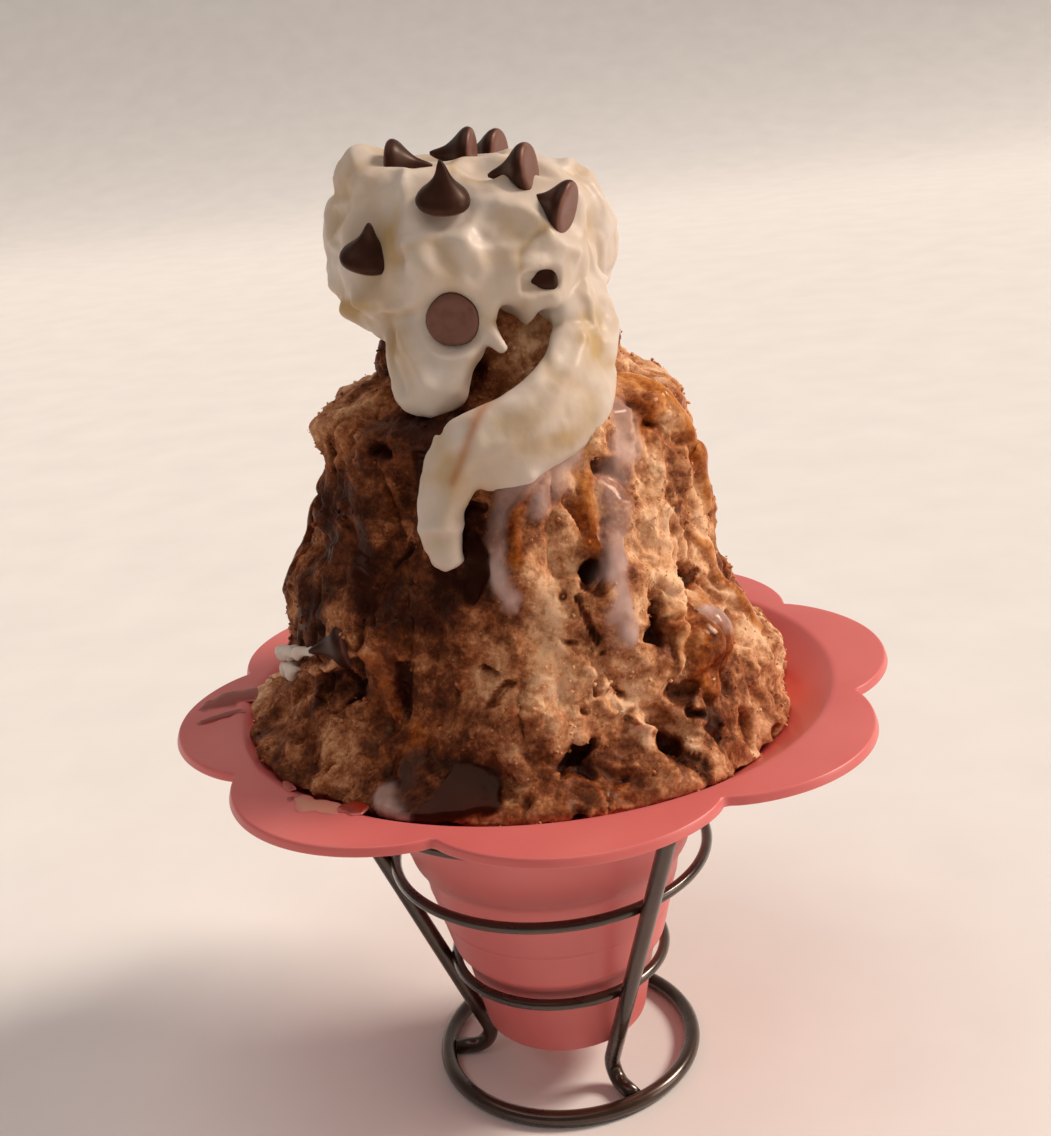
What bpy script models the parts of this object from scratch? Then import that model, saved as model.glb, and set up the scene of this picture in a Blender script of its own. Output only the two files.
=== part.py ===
"""A shaved ice dessert in a flower-rimmed plastic cup, held up by a bent wire stand.

Metres, +Z up. The origin is under the middle of the stand, on the surface it stands on.
Azimuths are in degrees round +Z, from the front (-Y) towards +X.
"""

import math

import bmesh
import bpy
import numpy as np
from mathutils import Matrix, Vector

MM = 0.001
GAP = 0.3 * MM  # clearance between pieces that touch

# Heights of the cup and of the stand.
RIM_Z = 91 * MM  # the flat rim of the cup
CUP_BOTTOM_Z = 11 * MM
CUP_WALL = 1.1 * MM

# The flower rim.
PETALS = 8
FIRST_PETAL = 5.0  # azimuth of the petal at the front
PETAL_TIP_R = 75 * MM
PETAL_NOTCH_R = 66.5 * MM
PETAL_FULLNESS = 0.75  # below 1, the petals are rounder than a cosine
LIP_DROP = 1.7 * MM
LIP_WIDTH = 1.3 * MM
LIP_ROUND = 0.7 * MM  # the rounded top of the lip
LIP_FILLET = 1.2 * MM  # between the lip and the underside of the rim

# The dish and the stepped body under it.
MOUTH_R = 60.5 * MM
MOUTH_DROP = 0.9 * MM  # the mouth's rounded edge, below the rim
MOUTH_ROUND = 1.4 * MM  # the same edge, across
BODY_TOP_R = 35.0 * MM
BODY_TOP_Z = 71 * MM
STEPS = (  # ledges: height above and below, then radius above and below
    (54.4 * MM, 52.6 * MM, 30.2 * MM, 28.6 * MM),
    (31.4 * MM, 29.3 * MM, 23.6 * MM, 21.4 * MM),
)
LEDGE_WALL = 0.4 * MM  # how much higher a ledge is on the inside
CUP_BOTTOM_R = 18.0 * MM

# The wire stand.
LEG_WIRE = 3.5 * MM
RING_WIRE = 2.4 * MM
LEG_AZIMUTHS = (-91.0, 29.0, 149.0)
LEG_R_AT_FLOOR = 15.26 * MM  # where the straight run of a leg would meet the floor
LEG_LEAN = 0.418  # outward run for each unit of height
LEG_TOP_Z = 75.5 * MM
FOOT_BEND_R = 4 * MM
BEND_STEPS = 7
BASE_RING_R = 28 * MM
RINGS = {  # height and number of straight stretches
    "stand_ring_top": (74.0 * MM, 26),
    "stand_ring_middle": (52.5 * MM, 24),
    "stand_ring_low": (26.9 * MM, 24),
}
BASE_RING_SEGMENTS = 32

# The heap of ice, heights above the rim.
NECK_Z = 64 * MM
ICE_TOP_Z = 88 * MM
DOME_Z = 68 * MM  # where the neck starts to round over
NECK_R = 24 * MM
SHOULDER_R = 34.4 * MM
HEAP_BASE_R = 51.5 * MM
HEAP_SAG = 1.2  # above 1, the flank is hollow rather than straight
NECK_START = 3 * MM  # the step in to the neck starts this far under it
NECK_END = 4 * MM  # and ends this far over it
TOE_GAP = 1.2 * MM  # between the toe of the heap and the dish's mouth
BARE_AZIMUTH = 82  # the side where the heap leaves a part of the dish free
BARE_WIDTH = 48
BARE_LOW = 1.4 * MM  # how far in the heap stands there, at the rim
BARE_HIGH = 1.0 * MM  # and how much more higher up

# The cream cap, heights above the rim.
CAP_CENTRE_X = -3.5 * MM
CAP_WAIST_Z = 88 * MM
CAP_LOW_Z = 79 * MM
CAP_TOP_Z = 108 * MM
CAP_R = 27 * MM
CAP_POWER = 2.6  # above 2, the dome is squarer than a sphere
CAP_SKIRT = 2.0 * MM  # how far the skirt turns in
CORNER_OUT = 6.5 * MM  # the cream stands up in a corner at the left
CORNER_UP = 3.2 * MM

# A chocolate chip.
CHIP_R = 5 * MM
CHIP_HEIGHT = 8.8 * MM

CUP_SEGMENTS = 64
ICE_SEGMENTS = 40
CAP_SEGMENTS = 28
CHIP_SIDES = 10
WIRE_SIDES = 6
WIRE_CORNER = 1.1  # a six-sided wire with this corner has the section of the round one
WIRE_FLAT = WIRE_CORNER * math.cos(math.pi / WIRE_SIDES)


def clear_scene():
    for obj in list(bpy.data.objects):
        bpy.data.objects.remove(obj)


def material(name, colour, roughness, metallic=0.0):
    made = bpy.data.materials.new(name)
    made.use_nodes = True
    shader = made.node_tree.nodes["Principled BSDF"]
    shader.inputs["Base Color"].default_value = (*colour, 1.0)
    shader.inputs["Roughness"].default_value = roughness
    shader.inputs["Metallic"].default_value = metallic
    return made


def add_mesh(name, points, faces, finish):
    """A named object from points and faces, shaded smooth with sharp edges kept."""
    mesh = bpy.data.meshes.new(name)
    mesh.from_pydata([tuple(point) for point in points], [], faces)
    mesh.materials.append(finish)
    mesh.shade_smooth()
    mesh.set_sharp_from_angle(angle=math.radians(40))
    obj = bpy.data.objects.new(name, mesh)
    bpy.context.scene.collection.objects.link(obj)
    return obj


def add_helper(name, points, faces, finish):
    """An object that only shapes another one."""
    obj = add_mesh(name, points, faces, finish)
    obj.hide_render = True
    obj.display_type = "WIRE"
    return obj


def azimuths(segments):
    """Azimuths in radians, with one at the middle of the front petal."""
    return math.radians(FIRST_PETAL) + np.arange(segments) * 2 * math.pi / segments


def rings_to_points(radii, heights, angles, centre_x=0.0):
    """Points of rings: radii and heights are arrays of rings by angles."""
    x = centre_x + radii * np.sin(angles)
    y = -radii * np.cos(angles)
    return np.stack([x, y, heights], axis=-1)


def closed_skin(rings, first_pole, last_pole):
    """Points and faces of a skin over rings. It faces out if the first pole is the lower one."""
    count, segments, _ = rings.shape
    points = [first_pole, *rings.reshape(-1, 3), last_pole]
    last = len(points) - 1
    faces = []
    for j in range(segments):
        k = (j + 1) % segments
        faces.append((0, 1 + k, 1 + j))
        for i in range(count - 1):
            low = 1 + i * segments
            faces.append((low + j, low + k, low + segments + k))
            faces.append((low + j, low + segments + k, low + segments + j))
        top = 1 + (count - 1) * segments
        faces.append((last, top + j, top + k))
    return points, faces


def petal_edge(angles):
    """Radius of the flower's edge: a rounded cosine, once for each petal."""
    wave = np.abs(np.cos(PETALS / 2 * (angles - math.radians(FIRST_PETAL))))
    return PETAL_NOTCH_R + (PETAL_TIP_R - PETAL_NOTCH_R) * wave**PETAL_FULLNESS


def inner_wall():
    """Radius and height of the corners inside the body, from the bottom up to the dish."""
    corners = [(CUP_BOTTOM_R - CUP_WALL, CUP_BOTTOM_Z + CUP_WALL)]
    for top_z, low_z, top_r, low_r in reversed(STEPS):
        corners.append((low_r - CUP_WALL, low_z + LEDGE_WALL))
        corners.append((top_r - CUP_WALL, top_z + LEDGE_WALL))
    corner = 0.8 * CUP_WALL  # along each way, which keeps the wall's thickness round the bend
    corners.append((BODY_TOP_R - corner, BODY_TOP_Z + corner))
    return corners


def make_cup(finish):
    angles = azimuths(CUP_SEGMENTS)
    edge = petal_edge(angles)
    around = np.ones(CUP_SEGMENTS)
    rings = [(CUP_BOTTOM_R * around, CUP_BOTTOM_Z)]
    for top_z, low_z, top_r, low_r in reversed(STEPS):
        rings.append((low_r * around, low_z))
        rings.append((top_r * around, top_z))
    rings.append((BODY_TOP_R * around, BODY_TOP_Z))
    rings.append(((MOUTH_R + CUP_WALL) * around, RIM_Z - CUP_WALL - LIP_WIDTH / 2))
    rings.append((edge - LIP_WIDTH - LIP_FILLET, RIM_Z - CUP_WALL))
    rings.append((edge - LIP_WIDTH, RIM_Z - LIP_DROP))
    rings.append((edge, RIM_Z - LIP_DROP))
    rings.append((edge - LIP_ROUND, RIM_Z))
    rings.append(((MOUTH_R + MOUTH_ROUND) * around, RIM_Z))
    rings.append((MOUTH_R * around, RIM_Z - MOUTH_DROP))
    for radius, height in reversed(inner_wall()):
        rings.append((radius * around, height))
    radii = np.array([radius for radius, _ in rings])
    heights = np.array([[height] * CUP_SEGMENTS for _, height in rings])
    skin = closed_skin(
        rings_to_points(radii, heights, angles),
        (0, 0, CUP_BOTTOM_Z),
        (0, 0, CUP_BOTTOM_Z + CUP_WALL),
    )
    return add_mesh("flower_cup", *skin, finish)


def smooth_step(value, start, end):
    """0 before start, 1 after end, and an S curve between them."""
    t = np.clip((value - start) / (end - start), 0, 1)
    return t * t * (3 - 2 * t)


# Bulges and hollows of the heap: azimuth, height above the rim, widths in degrees and mm, depth in mm.
HEAP_FEATURES = (
    (-76, 61, 16, 3.0, 2.0),  # ledge at the left of the neck
    (66, 52, 24, 9.0, 3.0),  # shoulder at the right of the neck
    (-33, 50, 10, 9.0, -6.5),  # hollow between the two runs of cream
    (-72, 28, 26, 11.0, 3.5),
    (84, 7, 22, 4.5, 3.5),  # bulge over the free part of the dish
    (84, 27, 26, 8.0, -1.5),
    (-13, 2, 8, 6.0, -6.0),  # hollow at the foot of the front
    (14, 34, 16, 8.0, 2.0),
    (-20, 20, 18, 7.0, -2.0),
    (150, 30, 24, 10.0, 2.5),
    (-150, 44, 24, 9.0, -2.5),
    (180, 12, 20, 6.0, 2.5),
)


def turn_between(angles, azimuth):
    """Signed turn in degrees from an azimuth to each angle."""
    return (np.degrees(angles) - azimuth + 180) % 360 - 180


def heap_radius(angles, height):
    """Radius of the heap at each angle, for a height above the rim.

    A cone that steps in at the neck, a toe that spreads to the dish's mouth except at the bare side,
    then the bulges and hollows, and low waves that break up what is left.
    """
    z = height / MM
    below_neck = np.clip(1 - height / NECK_Z, 0, 1.2)
    cone = SHOULDER_R + (HEAP_BASE_R - SHOULDER_R) * below_neck**HEAP_SAG
    neck = smooth_step(height, NECK_Z - NECK_START, NECK_Z + NECK_END)
    dome = np.sqrt(1 - np.clip((height - DOME_Z) / (ICE_TOP_Z - DOME_Z), 0, 1) ** 2)
    radius = cone * (1 - neck) + NECK_R * dome * neck + 0 * angles
    bare = np.exp(-((turn_between(angles, BARE_AZIMUTH) / BARE_WIDTH) ** 4))
    radius -= bare * (BARE_LOW + BARE_HIGH * smooth_step(height, 0, 20 * MM))
    toe = math.exp(-max(z, 0) / 5) * (1 - bare)
    radius += toe * (MOUTH_R - TOE_GAP - HEAP_BASE_R)
    fade = 1 - smooth_step(height, 60 * MM, 78 * MM)
    for azimuth, level, wide, tall, depth in HEAP_FEATURES:
        bump = np.exp(-((turn_between(angles, azimuth) / wide) ** 2) - ((z - level) / tall) ** 2)
        radius += depth * MM * bump
    radius += 0.8 * MM * fade * np.sin(5 * angles + 0.21 * z) * np.sin(0.33 * z + 2 * angles)
    radius += 0.5 * MM * fade * np.sin(11 * angles - 0.4 * z)
    return radius


def dish_radius(height):
    """Radius just clear of the dish at a height above the rim, which is negative."""
    low_r, low_z = inner_wall()[-1]
    slope = (MOUTH_R - low_r) / (RIM_Z - MOUTH_DROP - low_z)
    return MOUTH_R + slope * (height + MOUTH_DROP) - 2 * GAP


def ice_skin(grow):
    """The heap and the ice inside the cup, with its outside moved out by grow above the rim."""
    angles = azimuths(ICE_SEGMENTS)
    inner = inner_wall()
    rings = [(np.full(ICE_SEGMENTS, radius - GAP), height + GAP) for radius, height in inner]
    levels = (-16, -12, -8, -4, -1, 3, 8, 14, 21, 28, 35, 42, 49, 55, 60, 63.5, 67, 72, 77, 82, 86)
    for level in levels:
        height = level * MM
        radius = heap_radius(angles, height) + 1.5 * grow
        if height < 0:
            radius = np.minimum(radius, dish_radius(height))
        rings.append((radius, RIM_Z + height + grow))
    radii = np.array([radius for radius, _ in rings])
    heights = np.array([[height] * ICE_SEGMENTS for _, height in rings])
    points = rings_to_points(radii, heights, angles)
    bottom = (0, 0, inner[0][1] + GAP)
    return closed_skin(points, bottom, (0, 0, RIM_Z + ICE_TOP_Z + grow))


def cap_radius(height):
    """Radius of the cream cap at a height above the rim: a squarish dome over a short skirt."""
    rise = np.clip((height - CAP_WAIST_Z) / (CAP_TOP_Z - CAP_WAIST_Z), 0, 1)
    skirt = np.clip((CAP_WAIST_Z - height) / (CAP_WAIST_Z - CAP_LOW_Z), 0, 1)
    return CAP_R * (1 - rise**CAP_POWER) ** (1 / CAP_POWER) - CAP_SKIRT * skirt**2


def cap_skin():
    angles = azimuths(CAP_SEGMENTS)
    levels = np.array([79, 83, 88, 93, 98, 102, 105, 107.4])
    rings = []
    for level in levels:
        radius = cap_radius(level * MM) + 0 * angles
        radius += 0.7 * MM * np.sin(5 * angles + 0.3 * level)
        radius += 0.5 * MM * np.sin(8 * angles - 0.5 * level)
        corner = np.exp(-((turn_between(angles, -84) / 34) ** 2) - ((level - 108) / 6) ** 2)
        radius += CORNER_OUT * corner
        hem = 2.0 * MM * np.sin(3 * angles + 1) * (level == levels[0])
        rings.append((radius, RIM_Z + level * MM + hem + CORNER_UP * corner))
    radii = np.array([radius for radius, _ in rings])
    heights = np.array([height + 0 * angles for _, height in rings])
    points = rings_to_points(radii, heights, angles, CAP_CENTRE_X)
    low = (CAP_CENTRE_X, 0, RIM_Z + CAP_LOW_Z)
    return closed_skin(points, low, (CAP_CENTRE_X, 0, RIM_Z + CAP_TOP_Z))


def smooth_path(knots, steps):
    """A Catmull-Rom curve through rows of numbers, with steps points on each stretch."""
    rows = np.array(knots, float)
    rows = np.vstack([2 * rows[0] - rows[1], rows, 2 * rows[-1] - rows[-2]])
    made = []
    for i in range(1, len(rows) - 2):
        a, b, c, d = rows[i - 1 : i + 3]
        for t in np.arange(steps) / steps:
            square = (2 * a - 5 * b + 4 * c - d) * t**2
            cube = (3 * b - a - 3 * c + d) * t**3
            made.append(b + ((c - a) * t + square + cube) / 2)
    made.append(rows[-2])
    return np.array(made)


# Runs of cream: azimuth, height above the rim, distance from the axis, half width and half thickness in mm.
TONGUE = (
    (-26, 92, 18.0, 9.0, 3.6),
    (-26, 82, 23.5, 10.0, 3.8),
    (-28, 74, 26.5, 10.0, 3.8),
    (-27, 68.5, 28.2, 8.2, 3.6),
)
RIBBON = (
    (58, 90, 18.0, 10.0, 3.4),
    (48, 80, 23.5, 10.5, 3.4),
    (38, 71.5, 27.5, 10.5, 3.4),
    (22, 65, 32.0, 10.0, 3.4),
    (6, 61, 35.0, 9.3, 3.4),
    (-9, 57.5, 36.6, 7.8, 3.2),
    (-16, 51, 38.2, 5.2, 3.0),
    (-19, 44, 39.8, 3.8, 2.6),
)


def run_skin(knots, sides=10):
    """A flat run of cream that lies on the heap, with rounded ends."""
    path = smooth_path(knots, 3)
    angles = np.radians(path[:, 0])
    centres = rings_to_points(path[:, 2] * MM, RIM_Z + path[:, 1] * MM, angles)
    outward = rings_to_points(np.ones(len(path)), np.zeros(len(path)), angles)
    along = np.gradient(centres, axis=0)
    along /= np.linalg.norm(along, axis=1, keepdims=True)
    outward -= along * np.sum(outward * along, axis=1, keepdims=True)
    outward /= np.linalg.norm(outward, axis=1, keepdims=True)
    across = np.cross(along, outward)
    turn = np.arange(sides) * 2 * math.pi / sides
    half_width, half_depth = path[:, 3:5].T * MM
    wide = half_width[:, None, None] * across[:, None, :] * np.cos(turn)[None, :, None]
    deep = half_depth[:, None, None] * outward[:, None, :] * np.sin(turn)[None, :, None]
    rings = centres[:, None, :] + wide + deep
    reach = along[-1] * half_width[-1]  # the end is as long as the run is half wide
    near_tip = centres[-1] + 0.7 * reach + 0.7 * (rings[-1] - centres[-1])
    rings = np.concatenate([rings, near_tip[None]])
    return closed_skin(rings, tuple(centres[0] - along[0] * 2 * MM), tuple(centres[-1] + reach))


def facing_out(obj):
    """Turns a helper's faces outward, whichever way its rings ran."""
    shape = bmesh.new()
    shape.from_mesh(obj.data)
    bmesh.ops.recalc_face_normals(shape, faces=shape.faces)
    shape.to_mesh(obj.data)
    shape.free()
    return obj


# Chips: where the middle of the flat base is, in mm from the axis and above the rim, then the azimuth
# and the climb of the way that the tip points.
CREAM_CHIPS = {
    "chip_rear_left": (-17.6, -6.9, 107.7, 83, -5),
    "chip_top_left": (-1.6, -2.0, 108.0, -101, 4),
    "chip_top_right": (3.6, 6.4, 107.0, -112, 3),
    "chip_crown": (8.5, -15.7, 105.4, -110, -4),
    "chip_right": (14.4, -20.6, 98.2, -114, 16),
    "chip_front": (-7.7, -22.6, 101.2, 12, 64),
    "chip_left": (-22.7, -18.7, 91.9, 31, 64),
    "chip_low_right": (9.4, -19.7, 86.0, -65, 0),
    "chip_disc": (-8.3, -27.3, 81.7, 170, 0),
    "chip_back": (-2.0, 21.5, 101.0, 172, 45),
}
ICE_CHIPS = {"chip_fallen": (-33.9, -27.4, 23.2, -98, -8)}


def chip_skin(sides, grow):
    """A drop of chocolate with its flat base at the origin and its tip up +Z."""
    turn = np.arange(sides) * 2 * math.pi / sides
    profile = ((0.93, 0.0), (1.0, 0.12), (0.82, 0.32), (0.36, 0.6))
    radii = np.array([[part * CHIP_R + grow] * sides for part, _ in profile])
    spread = 1 + 2 * grow / CHIP_HEIGHT
    heights = np.array([[part * CHIP_HEIGHT * spread - grow] * sides for _, part in profile])
    points = rings_to_points(radii, heights, turn)
    return closed_skin(points, (0, 0, -grow), (0, 0, CHIP_HEIGHT + grow))


def chip_place(spot):
    """The matrix that sets a chip down at its spot."""
    x, y, level, tip_azimuth, climb = spot
    where = Vector((x * MM, y * MM, RIM_Z + level * MM))
    turn = math.radians(tip_azimuth)
    rise = math.radians(climb)
    way = Vector((math.sin(turn) * math.cos(rise), -math.cos(turn) * math.cos(rise), math.sin(rise)))
    return Matrix.Translation(where) @ way.to_track_quat("Z", "Y").to_matrix().to_4x4()


def make_chips(finish):
    for name, spot in (CREAM_CHIPS | ICE_CHIPS).items():
        chip = add_mesh(name, *chip_skin(CHIP_SIDES, 0), finish)
        chip.matrix_world = chip_place(spot)


def add_boolean(obj, other, operation):
    modifier = obj.modifiers.new(other.name, "BOOLEAN")
    modifier.operation = operation
    modifier.solver = "EXACT"
    modifier.object = other


def cut_pockets(obj, chips, finish):
    """Leaves room in a solid for the chips that are pressed into it."""
    for name, spot in chips.items():
        pocket = add_helper(f"pocket_{name}", *chip_skin(CHIP_SIDES, GAP), finish)
        pocket.matrix_world = chip_place(spot)
        add_boolean(obj, pocket, "DIFFERENCE")


def make_ice(finish):
    ice = add_mesh("shaved_ice", *ice_skin(0), finish)
    cut_pockets(ice, ICE_CHIPS, finish)


def make_cream(finish):
    """The cap with its two runs, hollowed by the ice under it and by a pocket for each chip."""
    cream = add_mesh("whipped_cream", *cap_skin(), finish)
    tongue = facing_out(add_helper("cream_tongue_shape", *run_skin(TONGUE), finish))
    ribbon = facing_out(add_helper("cream_ribbon_shape", *run_skin(RIBBON), finish))
    add_boolean(cream, tongue, "UNION")
    add_boolean(cream, ribbon, "UNION")
    add_boolean(cream, add_helper("ice_clearance", *ice_skin(GAP), finish), "DIFFERENCE")
    cut_pockets(cream, CREAM_CHIPS, finish)


def wire_section(wire):
    """Offsets round a wire with flat sides, one of which faces straight down."""
    turn = np.arange(WIRE_SIDES) * 2 * math.pi / WIRE_SIDES
    corner = WIRE_CORNER * wire / 2
    return corner * np.cos(turn), corner * np.sin(turn)


def ring_mesh(name, radius, height, wire, segments, finish):
    """A closed ring of wire that lies level."""
    across, up = wire_section(wire)
    angles = azimuths(segments)
    points = rings_to_points(
        radius + across[:, None] + 0 * angles, height + up[:, None] + 0 * angles, angles
    ).reshape(-1, 3)
    sides = len(across)
    faces = []
    for i in range(sides):
        for j in range(segments):
            k = (j + 1) % segments
            m = (i + 1) % sides
            faces.append((i * segments + j, m * segments + j, m * segments + k, i * segments + k))
    return facing_out(add_mesh(name, points, faces, finish))


def leg_r(height):
    return LEG_R_AT_FLOOR + LEG_LEAN * height


def ring_r(height):
    """Radius of a ring whose wire just clears the inside of the legs at a height."""
    across_leg = LEG_WIRE * math.hypot(1, LEG_LEAN)
    return leg_r(height) - WIRE_CORNER * (across_leg + RING_WIRE) / 2 - GAP


def leg_line():
    """Radius and height along a leg: straight down, round the bend, and out to the base ring."""
    lean = math.atan(LEG_LEAN)
    floor_z = WIRE_FLAT * LEG_WIRE / 2
    bend_top = floor_z + FOOT_BEND_R * (1 + math.sin(lean))
    line = [(leg_r(LEG_TOP_Z), LEG_TOP_Z), (leg_r(bend_top), bend_top)]
    centre_r = line[1][0] + FOOT_BEND_R * math.cos(lean)
    centre_z = floor_z + FOOT_BEND_R
    for step in range(1, BEND_STEPS):
        turn = math.pi - lean + step / BEND_STEPS * (math.pi / 2 + lean)
        line.append((centre_r + FOOT_BEND_R * math.cos(turn), centre_z + FOOT_BEND_R * math.sin(turn)))
    line.append((centre_r, floor_z))
    line.append((BASE_RING_R - WIRE_CORNER * LEG_WIRE / 2 - 2 * GAP, floor_z))
    return line


def make_leg(name, azimuth, finish):
    line = np.array(leg_line())
    along = np.gradient(line, axis=0)
    along /= np.linalg.norm(along, axis=1, keepdims=True)
    across, up = wire_section(LEG_WIRE)
    rings = []
    a = math.radians(azimuth)
    sideways = np.array([math.cos(a), math.sin(a), 0])
    outward = np.array([math.sin(a), -math.cos(a), 0])
    for (radius, height), (run, rise) in zip(line, along, strict=True):
        upward = rise * -outward + run * np.array([0, 0, 1])
        centre = radius * outward + height * np.array([0, 0, 1])
        rings.append(centre + across[:, None] * sideways + up[:, None] * upward)
    skin = closed_skin(np.array(rings), rings[0].mean(0), rings[-1].mean(0))
    return facing_out(add_mesh(name, *skin, finish))


def make_stand(finish):
    for name, azimuth in zip(("leg_left", "leg_right", "leg_back"), LEG_AZIMUTHS, strict=True):
        make_leg(f"stand_{name}", azimuth, finish)
    for name, (height, segments) in RINGS.items():
        ring_mesh(name, ring_r(height), height, RING_WIRE, segments, finish)
    low = WIRE_FLAT * LEG_WIRE / 2
    ring_mesh("stand_ring_base", BASE_RING_R, low, LEG_WIRE, BASE_RING_SEGMENTS, finish)


def main():
    clear_scene()
    pink = material("moulded polystyrene", (0.58, 0.12, 0.11), 0.35)
    bronze = material("brown lacquered wire", (0.035, 0.018, 0.011), 0.32, 0.4)
    brown_ice = material("syrup-soaked shaved ice", (0.22, 0.09, 0.045), 0.55)
    ivory = material("whipped cream", (0.62, 0.5, 0.36), 0.5)
    chocolate = material("dark chocolate", (0.045, 0.02, 0.017), 0.38)
    make_cup(pink)
    make_stand(bronze)
    make_ice(brown_ice)
    make_cream(ivory)
    make_chips(chocolate)


main()
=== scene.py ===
import math

import bpy
import numpy as np
from mathutils import Matrix, Vector


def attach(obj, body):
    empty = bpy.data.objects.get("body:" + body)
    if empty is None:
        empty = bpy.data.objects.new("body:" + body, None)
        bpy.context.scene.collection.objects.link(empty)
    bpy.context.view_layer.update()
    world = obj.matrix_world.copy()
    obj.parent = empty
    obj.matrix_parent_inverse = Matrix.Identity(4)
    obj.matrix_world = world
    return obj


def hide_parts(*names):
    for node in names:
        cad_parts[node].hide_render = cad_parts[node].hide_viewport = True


# A chocolate shaved ice in a flower-rimmed cup on a wire stand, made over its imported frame.
# Metres, +Z up. Azimuths are degrees round +Z from the front (-Y) towards +X.
# Heights called z are millimetres above the rim, which most of the food is measured from.

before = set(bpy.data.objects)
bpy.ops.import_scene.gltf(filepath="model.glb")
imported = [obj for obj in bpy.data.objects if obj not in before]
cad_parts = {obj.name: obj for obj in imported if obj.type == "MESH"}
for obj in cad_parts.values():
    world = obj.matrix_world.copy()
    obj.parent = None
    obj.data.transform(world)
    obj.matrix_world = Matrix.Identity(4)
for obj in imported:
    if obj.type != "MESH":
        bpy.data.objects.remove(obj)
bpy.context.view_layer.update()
mm = 0.001
rimZ = 91.0
rng = np.random.default_rng(11)


# ---- small tools ----

def linear(hexColour):
    # sRGB hex to linear RGBA: each channel through the sRGB curve
    values = [int(hexColour[i : i + 2], 16) / 255 for i in (0, 2, 4)]
    return (*[v / 12.92 if v <= 0.04045 else ((v + 0.055) / 1.055) ** 2.4 for v in values], 1.0)


def addNode(material, kind, links=None, ramp=None, **settings):
    # adds one shader node: settings by name, sockets by name or number, ramp as (place, hex) pairs
    tree = material.node_tree
    made = tree.nodes.new("ShaderNode" + kind)
    for key, value in settings.items():
        setattr(made, key, value)
    for key, value in (links or {}).items():
        if isinstance(value, bpy.types.NodeSocket):
            tree.links.new(value, made.inputs[key])
        else:
            made.inputs[key].default_value = value
    if ramp:
        while len(made.color_ramp.elements) < len(ramp):
            made.color_ramp.elements.new(0.5)
        for element, (place, colour) in zip(made.color_ramp.elements, ramp):
            element.position = place
            element.color = linear(colour)
    return made


def newMaterial(name):
    made = bpy.data.materials.new(name)
    made.use_nodes = True
    return made, made.node_tree.nodes["Principled BSDF"]


def setShader(material, shader, **sockets):
    # sets or links the main shader's sockets; spaces in their names are written as underscores
    for key, value in sockets.items():
        socket = shader.inputs[key.replace("_", " ")]
        if isinstance(value, bpy.types.NodeSocket):
            material.node_tree.links.new(value, socket)
        else:
            socket.default_value = value


def perMetre(sizeMm):
    # texture scale that gives a pattern this size in millimetres
    return 1000.0 / sizeMm


def facesOfGrid(rows, columns, wrap=True):
    # quads between the rows of a grid of points; wrap closes each row on itself
    i, j = np.meshgrid(np.arange(rows - 1), np.arange(columns if wrap else columns - 1), indexing="ij")
    k = (j + 1) % columns
    quads = np.stack([i * columns + j, i * columns + k, (i + 1) * columns + k, (i + 1) * columns + j], -1)
    return quads.reshape(-1, 4)


def makeMesh(name, points, faces, finish=None, attributes=None, smooth=True):
    # points in mm to a mesh in metres; faces is one array, or several of the same width each
    groups = faces if isinstance(faces, list) else [faces]
    corners = np.concatenate([g.ravel() for g in groups]).astype(np.int32)
    counts = np.concatenate([np.full(len(g), g.shape[1]) for g in groups]).astype(np.int32)
    starts = np.concatenate([[0], np.cumsum(counts)[:-1]]).astype(np.int32)
    mesh = bpy.data.meshes.new(name)
    mesh.vertices.add(len(points))
    mesh.vertices.foreach_set("co", (np.asarray(points, np.float32) * mm).ravel())
    mesh.loops.add(len(corners))
    mesh.loops.foreach_set("vertex_index", corners)
    mesh.polygons.add(len(counts))
    mesh.polygons.foreach_set("loop_start", starts)
    mesh.polygons.foreach_set("use_smooth", np.full(len(counts), smooth))
    mesh.update(calc_edges=True)
    mesh.validate()
    for key, values in (attributes or {}).items():
        layer = mesh.attributes.new(key, "FLOAT", "POINT")
        layer.data.foreach_set("value", np.asarray(values, np.float32).ravel())
    if finish:
        mesh.materials.append(finish)
    return mesh


def addPiece(name, mesh, nodes=()):
    piece = bpy.data.objects.new(name, mesh)
    bpy.context.scene.collection.objects.link(piece)
    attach(piece, "root")
    if nodes:
        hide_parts(*nodes)
    return piece


def closedTube(rings, wrapAlong=False):
    # a skin over rings (n, sides, 3), with a point in the middle of each end unless it runs round
    count, sides, _ = rings.shape
    points = rings.reshape(-1, 3)
    if wrapAlong:
        ringsAgain = np.concatenate([np.arange(count * sides), np.arange(sides)])
        return points, ringsAgain[facesOfGrid(count + 1, sides)]
    ends = np.stack([rings[0].mean(0), rings[-1].mean(0)])
    a = np.arange(sides)
    b = (a + 1) % sides
    low = np.stack([np.full(sides, len(points)), b, a], -1)
    top = (count - 1) * sides
    high = np.stack([np.full(sides, len(points) + 1), top + a, top + b], -1)
    return np.concatenate([points, ends]), [facesOfGrid(count, sides), low, high]


def smoothStep(value, start, end):
    t = np.clip((value - start) / (end - start), 0, 1)
    return t * t * (3 - 2 * t)


def turnBetween(azimuth, other):
    # signed turn in degrees
    return (azimuth - other + 180) % 360 - 180


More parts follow.
